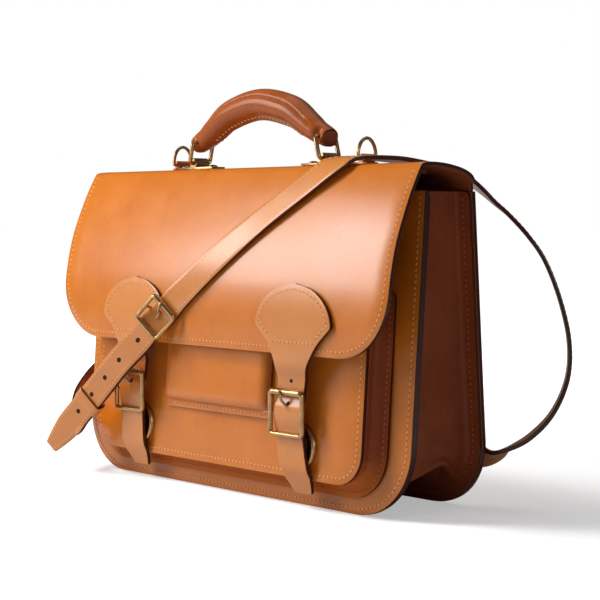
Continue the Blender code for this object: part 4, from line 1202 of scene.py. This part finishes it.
def plate_mesh(name, pivot, length, width, barrel, bore, look):
    """Plate on the flap with rounded ends, carrying a bored barrel along Y round the pivot."""
    middle = Vector((pivot.x, pivot.y, PLATE_BASE + PLATE_THICKNESS / 2))
    bpy.ops.object.select_all(action="DESELECT")
    bpy.ops.mesh.primitive_cube_add(size=1, location=middle * MM)
    obj = bpy.context.active_object
    obj.name = name
    obj.scale = (length * MM, width * MM, PLATE_THICKNESS * MM)
    bpy.ops.object.transform_apply(location=True, rotation=True, scale=True)
    bpy.ops.object.mode_set(mode="EDIT")
    mesh = bmesh.from_edit_mesh(obj.data)
    for edge in mesh.edges:
        edge.select = abs(edge.verts[0].co.z - edge.verts[1].co.z) > PLATE_THICKNESS * MM * 0.5
    bmesh.update_edit_mesh(obj.data)
    bpy.ops.mesh.bevel(offset=width * MM * 0.3, segments=5)
    bpy.ops.object.mode_set(mode="OBJECT")
    modify(obj, "BEVEL", {"width": 0.0004, "segments": 2})
    obj.data.materials.append(look)
    half = width / 2
    profile = [(-half, bore + 0.05), (-half, barrel - 0.4), (-half + 0.4, barrel),
               (half - 0.4, barrel), (half, barrel - 0.4), (half, bore + 0.05)]
    join(obj, [turned(name + "_barrel", profile, pivot, Y_AXIS, look, 24)])
    clean_up(obj)
    return obj


class BRIEFCASE_OT_handle(bpy.types.Operator):
    """Rolled handle with its rings, plates and rivets"""
    bl_idname = "briefcase.handle"
    bl_label = "Handle"

    def execute(self, context):
        brass = brass_material()
        for side, word in SIDES:
            lean = math.radians(RING_LEAN)
            up = Vector((-side * math.sin(lean), 0, math.cos(lean)))
            pivot = Vector((side * PLATE_X, HANDLE_Y, RING_PIVOT))
            corners = rounded_corners(RING_HALF, RING_REACH / 2, RING_CORNER, 6)
            loop = [pivot + Y_AXIS * u + up * (RING_REACH / 2 + v) for u, v, _ in corners]
            ring = tube("handle_ring_" + word + "_brass", loop, [RING_WIRE] * len(loop), brass, True)
            finish_piece(ring, "ring_" + word + "_body", "handle_ring_" + word)
            plate = plate_mesh("handle_plate_" + word + "_brass", pivot, PLATE_LENGTH, PLATE_WIDTH,
                               PLATE_BARREL, PLATE_BORE, brass)
            finish_piece(plate, "flap_body", "handle_plate_" + word)
            for number, shift in ((1, -RIVET_SHIFT), (2, RIVET_SHIFT)):
                node = "handle_rivet_" + word + "_" + str(number)
                centre = Vector((side * PLATE_X + shift, HANDLE_Y, PLATE_TOP))
                rivet = turned(node + "_brass", RIVET_PROFILE, centre, Z_AXIS, brass, 24)
                finish_piece(rivet, "flap_body", node)
        self.grip()
        return {"FINISHED"}

    def grip(self):
        """Rolled grip: groove along the top, sewn keel below, flat ends round the rings' bars."""
        left, right = ring_top(-1), ring_top(1)
        half = right.x
        key = [(half + 5.4, -1.9, 5.8, 7.6), (half + 4.6, -1.6, 7.2, 8.8), (half, 0.6, 7.9, 9.4),
               (half - 8, 4.2, 8.7, 10.0), (half - 18, 10.4, 9.9, 10.8), (half - 38, 21.8, 11.2, 12.0),
               (0, 28.4, 11.25, 12.0)]
        stations = [(-x, z, h, w) for x, z, h, w in key] + key[-2::-1]
        points = spline(stations, 8)
        centres = [Vector((p[0], HANDLE_Y, left.z + p[1])) for p in points]
        tangents = tangents_of(centres)
        ups = [Vector((-t.z, 0, t.x)) for t in tangents]
        verts = []
        for centre, up, p in zip(centres, ups, points):
            middle = max(0.0, 1 - (abs(p[0]) / (half - 8)) ** 6)
            for angle in circle(GRIP_SIDES):
                groove = GROOVE_DEPTH * hump(angle, GROOVE_ANGLE, GROOVE_SPREAD)
                keel = KEEL_DEPTH * hump(angle, 1.5 * math.pi, KEEL_SPREAD)
                cheek = max(0.0, abs(math.cos(angle)) - 0.55)
                slot = SLOT_DEPTH * hump(abs(p[0]), half, SLOT_SPREAD) * cheek
                reach = 1 + (keel - groove) * middle - slot
                verts.append(centre + up * p[2] * math.sin(angle) * reach
                             + Y_AXIS * p[3] * math.cos(angle) * reach)
        faces = solid_faces(len(centres), GRIP_SIDES)
        handle = leather_object("handle_leather", verts, faces, handle_leather())
        clean_up(handle, 60)
        sewn = [i for i, p in enumerate(points) if abs(p[0]) < half - 14]

        def place(across, along, lift=0.0):
            low = max(0, min(len(sewn) - 2, int(along)))
            share = along - low
            a, b = sewn[low], sewn[low + 1]
            side = Y_AXIS * (1 if across > 0 else -1)
            out = side * 0.8 - ups[a] * 0.6
            height = points[a][2] * 0.99
            base = centres[a].lerp(centres[b], share) - ups[a] * height + Y_AXIS * across
            return base + out * lift

        seams = []
        for side in (-1, 1):
            path = [(side * 3.0, k * 0.5) for k in range(2 * (len(sewn) - 1))]
            seams.append(seam("handle_seam", place, path, 0.2))
        join(handle, seams)
        finish_piece(handle, "handle_body", "handle")


class BRIEFCASE_OT_carry_rings(bpy.types.Operator):
    """D-rings standing in their leather tabs"""
    bl_idname = "briefcase.carry_rings"
    bl_label = "Carry rings"

    def execute(self, context):
        brass = brass_material()
        for side, word in SIDES:
            pivot = Vector((side * D_X, D_Y, D_PIVOT))
            loop = [pivot + Y_AXIS * a for a in evenly(-D_HALF, D_HALF, 8)]
            for k in range(1, 20):
                angle = math.pi * k / 20
                rise = D_SHOULDER * math.sin(angle) ** 0.5 + (D_HEIGHT - D_SHOULDER) * math.sin(angle)
                loop.append(pivot + Vector((0, D_HALF * math.cos(angle), rise)))
            ring = tube("d_ring_" + word + "_brass", loop, [D_WIRE] * len(loop), brass, True, 12)
            finish_piece(ring, "d_ring_" + word + "_body", "d_ring_" + word)
            tab = plate_mesh("d_ring_tab_" + word + "_leather", pivot, D_TAB_LENGTH, D_TAB_WIDTH,
                             D_TAB_BARREL, D_TAB_BORE, tan_leather())
            finish_piece(tab, "flap_body", "d_ring_tab_" + word)
        return {"FINISHED"}


def stepped(x, pairs):
    """Smooth steps between (x, value) pairs with falling x."""
    for (x1, low), (x2, high) in zip(pairs, pairs[1:]):
        if x2 <= x <= x1:
            share = (x1 - x) / (x1 - x2)
            return low + (high - low) * ease(share)
    return pairs[-1][1] if x < pairs[-1][0] else pairs[0][1]


def shoulder_along(x):
    """Distance over the flap where the strap's middle is at x, with the route's corners eased."""
    total = 0.0
    for spot in (x - 12, x - 4, x + 4, x + 12):
        for (x1, low), (x2, high) in zip(SHOULDER_ROUTE, SHOULDER_ROUTE[1:]):
            if spot >= x2:
                break
        total += low + (high - low) * (x1 - spot) / (x1 - x2)
    return total / 4


def on_flap(x, along, lift):
    """Point over the flap; past its front edge the leather hangs straight down."""
    if along <= FLAP_LENGTH:
        spot = FLAP_PLACE(0, along, lift)
    else:
        spot = FLAP_PLACE(0, FLAP_LENGTH, lift) - Z_AXIS * (along - FLAP_LENGTH)
    return Vector((x, spot.y, spot.z))


def shoulder_place(pairs):
    """Flat coordinates of the strap where it lies on the flap; along is minus X."""
    def place(across, along, lift=0.0):
        x = -along
        run = Vector((20, shoulder_along(x - 10) - shoulder_along(x + 10))).normalized()
        rise = stepped(x, pairs) - across * stepped(x, SHOULDER_TIP_OVER) + lift
        return on_flap(x + run.y * across, shoulder_along(x) + run.x * across, rise)
    return place


def shoulder_axes(base, x):
    """Middle of the strap at x with its directions across, up the strap and out of it."""
    along = (base(0, -x - 8) - base(0, -x + 8)).normalized()
    across = base(8, -x) - base(-8, -x)
    across = (across - along * across.dot(along)).normalized()
    return base(0, -x), across, along, across.cross(along)


def on_back(point):
    """Middle of the strap where it lies on the back panel."""
    return Vector((point.x, back_outer(point.z) + SHOULDER_THICKNESS / 2 + 0.3, point.z))


class BRIEFCASE_OT_shoulder_strap(bpy.types.Operator):
    """Shoulder strap wrapped round the bag, with its buckle, prong and keeper"""
    bl_idname = "briefcase.shoulder_strap"
    bl_label = "Shoulder strap"

    def execute(self, context):
        self.front()
        self.loop()
        self.back()
        self.around()
        self.buckle()
        self.keeper()
        return {"FINISHED"}

    def sewn(self, name, place, stations, width=lambda s: SHOULDER_WIDTH):
        """Strap sewn along both edges."""
        strap = leather_sheet(name, place, stations, width, SHOULDER_THICKNESS, strap_leather(), 8)
        seams = []
        for side in (-1, 1):
            path = [(side * (width(s) / 2 - SHOULDER_SEAM_INSET), s) for s in stations]
            seams.append(seam(name + "_seam", place, path, SHOULDER_THICKNESS / 2 - 0.15))
        join(strap, seams)
        return strap

    def front(self):
        place = shoulder_place(UPPER_LIFT)

        def width(along):
            taper = max(0.0, (along + SHOULDER_TAPER_X) / (SHOULDER_TAPER_X - SHOULDER_TIP_X))
            return SHOULDER_WIDTH * (1 - 0.46 * min(1.0, taper) ** 1.4)

        stations = evenly(-SHOULDER_ROUTE[0][0], -SHOULDER_TIP_X, 172)
        strap = self.sewn("shoulder_strap_front_leather", place, stations, width)
        join(strap, [punched_holes("shoulder_holes", place, SHOULDER_HOLES, SHOULDER_THICKNESS / 2, 1.9)])
        finish_piece(strap, "flap_body", "shoulder_strap_front")

    def loop(self):
        end_x = SHOULDER_ROUTE[0][0]
        place = shoulder_place(UPPER_LIFT)
        end, before = place(0, -end_x), place(0, -end_x + 8)
        heading = (end - before).normalized()
        chord = (place(8, -end_x) - place(-8, -end_x)).normalized()
        run = (on_back(BACK_START) - on_back(BACK_END)).normalized()
        landing = on_back(BACK_START)
        path = [end - heading, end + heading * 4] + [Vector(p) for p, _ in LOOP_POINTS]
        path += [landing + run * 9 + Y_AXIS * 0.8, landing - run]
        flat = Vector((0, -LEAN, 1))
        sides = [chord, chord]
        for index, (_, turned_flat) in enumerate(LOOP_POINTS):
            sides.append(chord.lerp(LOOP_SIDE, min(1.0, (index + 0.5) / 4)).lerp(flat, turned_flat))
        sides += [flat, flat]
        centres = spline(path, 10)
        squared, normals = [], []
        for tangent, side in zip(tangents_of(centres), spline(sides, 10)):
            across = (side - tangent * side.dot(tangent)).normalized()
            squared.append(across)
            normals.append(across.cross(tangent))
        strip, length = ribbon(centres, squared, normals)
        stations = evenly(0, length, 120)
        strap = self.sewn("shoulder_strap_loop_leather", strip, stations)
        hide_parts("shoulder_strap_loop")
        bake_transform(strap)

    def back(self):
        normal = Vector((0, 1, LEAN)).normalized()
        centres = [on_back(BACK_START.lerp(BACK_END, k / 20)) for k in range(21)]
        side = (centres[-1] - centres[0]).normalized().cross(normal)
        strip, length = ribbon(centres, [side] * 21, [normal] * 21)
        stations = evenly(0, length, 40)
        strap = self.sewn("shoulder_strap_back_leather", strip, stations)
        finish_piece(strap, "case", "shoulder_strap_back")

    def around(self):
        start = on_back(BACK_END)
        run = (start - on_back(BACK_START)).normalized()
        flat = Vector((0, 1, LEAN))
        turn = [(start, flat), (start + run * 10, flat)]
        turn += [(Vector(middle), Vector(outward)) for middle, outward in RETURN_TURN]
        under = shoulder_place(RETURN_LIFT)
        for x in RETURN_UNDER_X:
            turn.append((under(0, -x), under(0, -x, 1) - under(0, -x)))
        centres = spline([p for p, _ in turn], 8)
        tangents = tangents_of(centres)
        sides = [t.cross(n).normalized() for t, n in zip(tangents, spline([n for _, n in turn], 8))]
        normals = [s.cross(t) for s, t in zip(sides, tangents)]
        strip, length = ribbon(centres, sides, normals)
        stations = evenly(0, length, 100)
        strap = self.sewn("shoulder_strap_return_leather", strip, stations)
        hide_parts("shoulder_strap_return")
        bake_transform(strap)

    def buckle(self):
        brass = brass_material()
        base = shoulder_place([(0, SHOULDER_FRAME_LIFT)])
        centre, across, along, out = shoulder_axes(base, SHOULDER_BUCKLE_X)
        tilt = math.radians(SHOULDER_FRAME_TILT)
        up = along * math.cos(tilt) - out * math.sin(tilt)
        face = out * math.cos(tilt) + along * math.sin(tilt)

        def place(u, v, w):
            return centre + across * u + up * v - face * w

        loop = buckle_frame("shoulder_buckle_brass", place, SHOULDER_FRAME_WIDTH, SHOULDER_FRAME_HEIGHT,
                            SHOULDER_FRAME_WIRE, SHOULDER_FRAME_TOP_WIRE, SHOULDER_BAR_SET, brass)
        finish_piece(loop, "flap_body", "shoulder_buckle")
        tongue = prong("shoulder_prong_brass", place, SHOULDER_BAR_SET, SHOULDER_PRONG_REACH,
                       SHOULDER_FRAME_TOP_WIRE, brass)
        finish_piece(tongue, "shoulder_prong_body", "shoulder_prong")

    def keeper(self):
        """Band of leather round both layers of the strap."""
        base = shoulder_place([(0, KEEPER_LIFT)])
        centres, sides, normals = [], [], []
        spot, across, along, normal = shoulder_axes(base, KEEPER_X)
        for u, v, angle in rounded_corners(SHOULDER_WIDTH / 2 + 1.1, KEEPER_HALF_HEIGHT, 2.0):
            centres.append(spot + across * u + normal * v)
            normals.append(across * math.cos(angle) + normal * math.sin(angle))
            sides.append(along)
        for items in (centres, sides, normals):
            items.append(items[0])
        strip, length = ribbon(centres, sides, normals)
        stations = evenly(0, length, 60)
        band = leather_sheet("shoulder_keeper_leather", strip, stations, lambda s: KEEPER_WIDTH, KEEPER_WALL,
                             strap_leather(), 4)
        finish_piece(band, "flap_body", "shoulder_keeper")


class BRIEFCASE_OT_stage(bpy.types.Operator):
    """Pale floor, soft studio light and the photograph's camera"""
    bl_idname = "briefcase.stage"
    bl_label = "Stage"

    def execute(self, context):
        self.camera(context)
        self.floor()
        self.lights(context)
        context.scene.view_settings.view_transform = "Standard"
        return {"FINISHED"}

    def camera(self, context):
        data = bpy.data.cameras.new("photo_camera")
        data.sensor_width = 36.0
        data.lens = data.sensor_width * CAMERA_FOCAL_PIXELS / IMAGE_PIXELS
        data.clip_end = 50
        camera = bpy.data.objects.new("photo_camera", data)
        camera.location = CAMERA_PLACE
        turn, rise = math.radians(CAMERA_AZIMUTH), math.radians(CAMERA_ELEVATION)
        ahead = -Vector((math.sin(turn) * math.cos(rise), -math.cos(turn) * math.cos(rise), math.sin(rise)))
        camera.rotation_euler = ahead.to_track_quat("-Z", "Y").to_euler()
        context.scene.collection.objects.link(camera)
        context.scene.camera = camera

    def floor(self):
        bpy.ops.object.select_all(action="DESELECT")
        bpy.ops.mesh.primitive_plane_add(size=30, location=(0, 0, -0.0003))
        floor = bpy.context.active_object
        floor.name = "studio_floor"
        mat, tree, shader = new_material("white_sweep")
        shader.inputs["Roughness"].default_value = 0.9
        shader.inputs["Specular IOR Level"].default_value = 0.0
        place = add_node(tree, "ShaderNodeTexCoord").outputs["Object"]
        away = add_node(tree, "ShaderNodeVectorMath", {"operation": "LENGTH"}, {0: place})
        fade = add_node(tree, "ShaderNodeMapRange", {"interpolation_type": "SMOOTHSTEP"}, {
            "Value": away.outputs["Value"], "From Min": 0.32, "From Max": 0.9,
            "To Min": 0.42, "To Max": 1.0})
        rays = add_node(tree, "ShaderNodeLightPath")
        pale = add_node(tree, "ShaderNodeMapRange", inputs={
            "Value": rays.outputs["Is Camera Ray"], "To Min": 0.7, "To Max": 0.86})
        tree.links.new(pale.outputs["Result"], shader.inputs["Base Color"])
        share = add_node(tree, "ShaderNodeMath", {"operation": "MULTIPLY"}, {
            0: rays.outputs["Is Camera Ray"], 1: fade.outputs["Result"]})
        glow = add_node(tree, "ShaderNodeEmission", inputs={"Strength": share.outputs[0]})
        both = add_node(tree, "ShaderNodeAddShader", inputs={
            0: shader.outputs["BSDF"], 1: glow.outputs["Emission"]})
        tree.links.new(both.outputs[0], tree.nodes["Material Output"].inputs["Surface"])
        floor.data.materials.append(mat)

    def lights(self, context):
        lamps = (("key", (-1.08, -0.95, 2.0), (0.7, 0.7), 42.0),
                 ("softbox", (-0.665, -0.728, 0.585), (0.4, 0.6), 7.0),
                 ("top", (0.0, 0.3, 1.9), (1.4, 1.4), 6.0),
                 ("edge", (1.4, -0.35, 0.5), (0.15, 0.4), 2.5))
        for name, place, size, power in lamps:
            data = bpy.data.lights.new(name, "AREA")
            data.shape = "RECTANGLE"
            data.size, data.size_y = size
            data.energy = power
            lamp = bpy.data.objects.new(name, data)
            lamp.location = place
            lamp.visible_glossy = name != "key"
            lamp.visible_diffuse = name != "edge"
            aim = Vector((0.08, 0.0, 0.16)) - Vector(place)
            lamp.rotation_euler = aim.to_track_quat("-Z", "Y").to_euler()
            context.scene.collection.objects.link(lamp)
        world = bpy.data.worlds.new("studio")
        context.scene.world = world
        world.use_nodes = True
        tree = world.node_tree
        base = tree.nodes["Background"]
        base.inputs["Color"].default_value = (1, 1, 1, 1)
        rays = add_node(tree, "ShaderNodeLightPath")
        strength = add_node(tree, "ShaderNodeMapRange", inputs={
            "Value": rays.outputs["Is Camera Ray"], "To Min": 0.09, "To Max": 1.0})
        tree.links.new(strength.outputs["Result"], base.inputs["Strength"])


class BRIEFCASE_PT_panel(bpy.types.Panel):
    """Sizes, colours and the pieces of the briefcase"""
    bl_idname = "BRIEFCASE_PT_panel"
    bl_label = "Briefcase"
    bl_space_type = "VIEW_3D"
    bl_region_type = "UI"
    bl_category = "Briefcase"

    def draw(self, context):
        for group in (context.scene.briefcase_sizes, context.scene.briefcase_colours):
            for key in group.__annotations__:
                self.layout.prop(group, key)
        for operator in OPERATORS:
            self.layout.operator(operator.bl_idname)


OPERATORS = (BRIEFCASE_OT_body, BRIEFCASE_OT_pocket, BRIEFCASE_OT_flap, BRIEFCASE_OT_flap_straps,
             BRIEFCASE_OT_buckles, BRIEFCASE_OT_handle, BRIEFCASE_OT_carry_rings,
             BRIEFCASE_OT_shoulder_strap, BRIEFCASE_OT_stage)
CLASSES = (BriefcaseSizes, BriefcaseColours) + OPERATORS + (BRIEFCASE_PT_panel,)


def register():
    for item in CLASSES:
        bpy.utils.register_class(item)
    bpy.types.Scene.briefcase_sizes = PointerProperty(type=BriefcaseSizes)
    bpy.types.Scene.briefcase_colours = PointerProperty(type=BriefcaseColours)


def unregister():
    del bpy.types.Scene.briefcase_colours
    del bpy.types.Scene.briefcase_sizes
    for item in reversed(CLASSES):
        bpy.utils.unregister_class(item)


def main():
    register()
    bpy.ops.briefcase.body()
    bpy.ops.briefcase.pocket()
    bpy.ops.briefcase.flap()
    bpy.ops.briefcase.flap_straps()
    bpy.ops.briefcase.buckles()
    bpy.ops.briefcase.handle()
    bpy.ops.briefcase.carry_rings()
    bpy.ops.briefcase.shoulder_strap()
    bpy.ops.briefcase.stage()


if __name__ == "__main__":
    main()
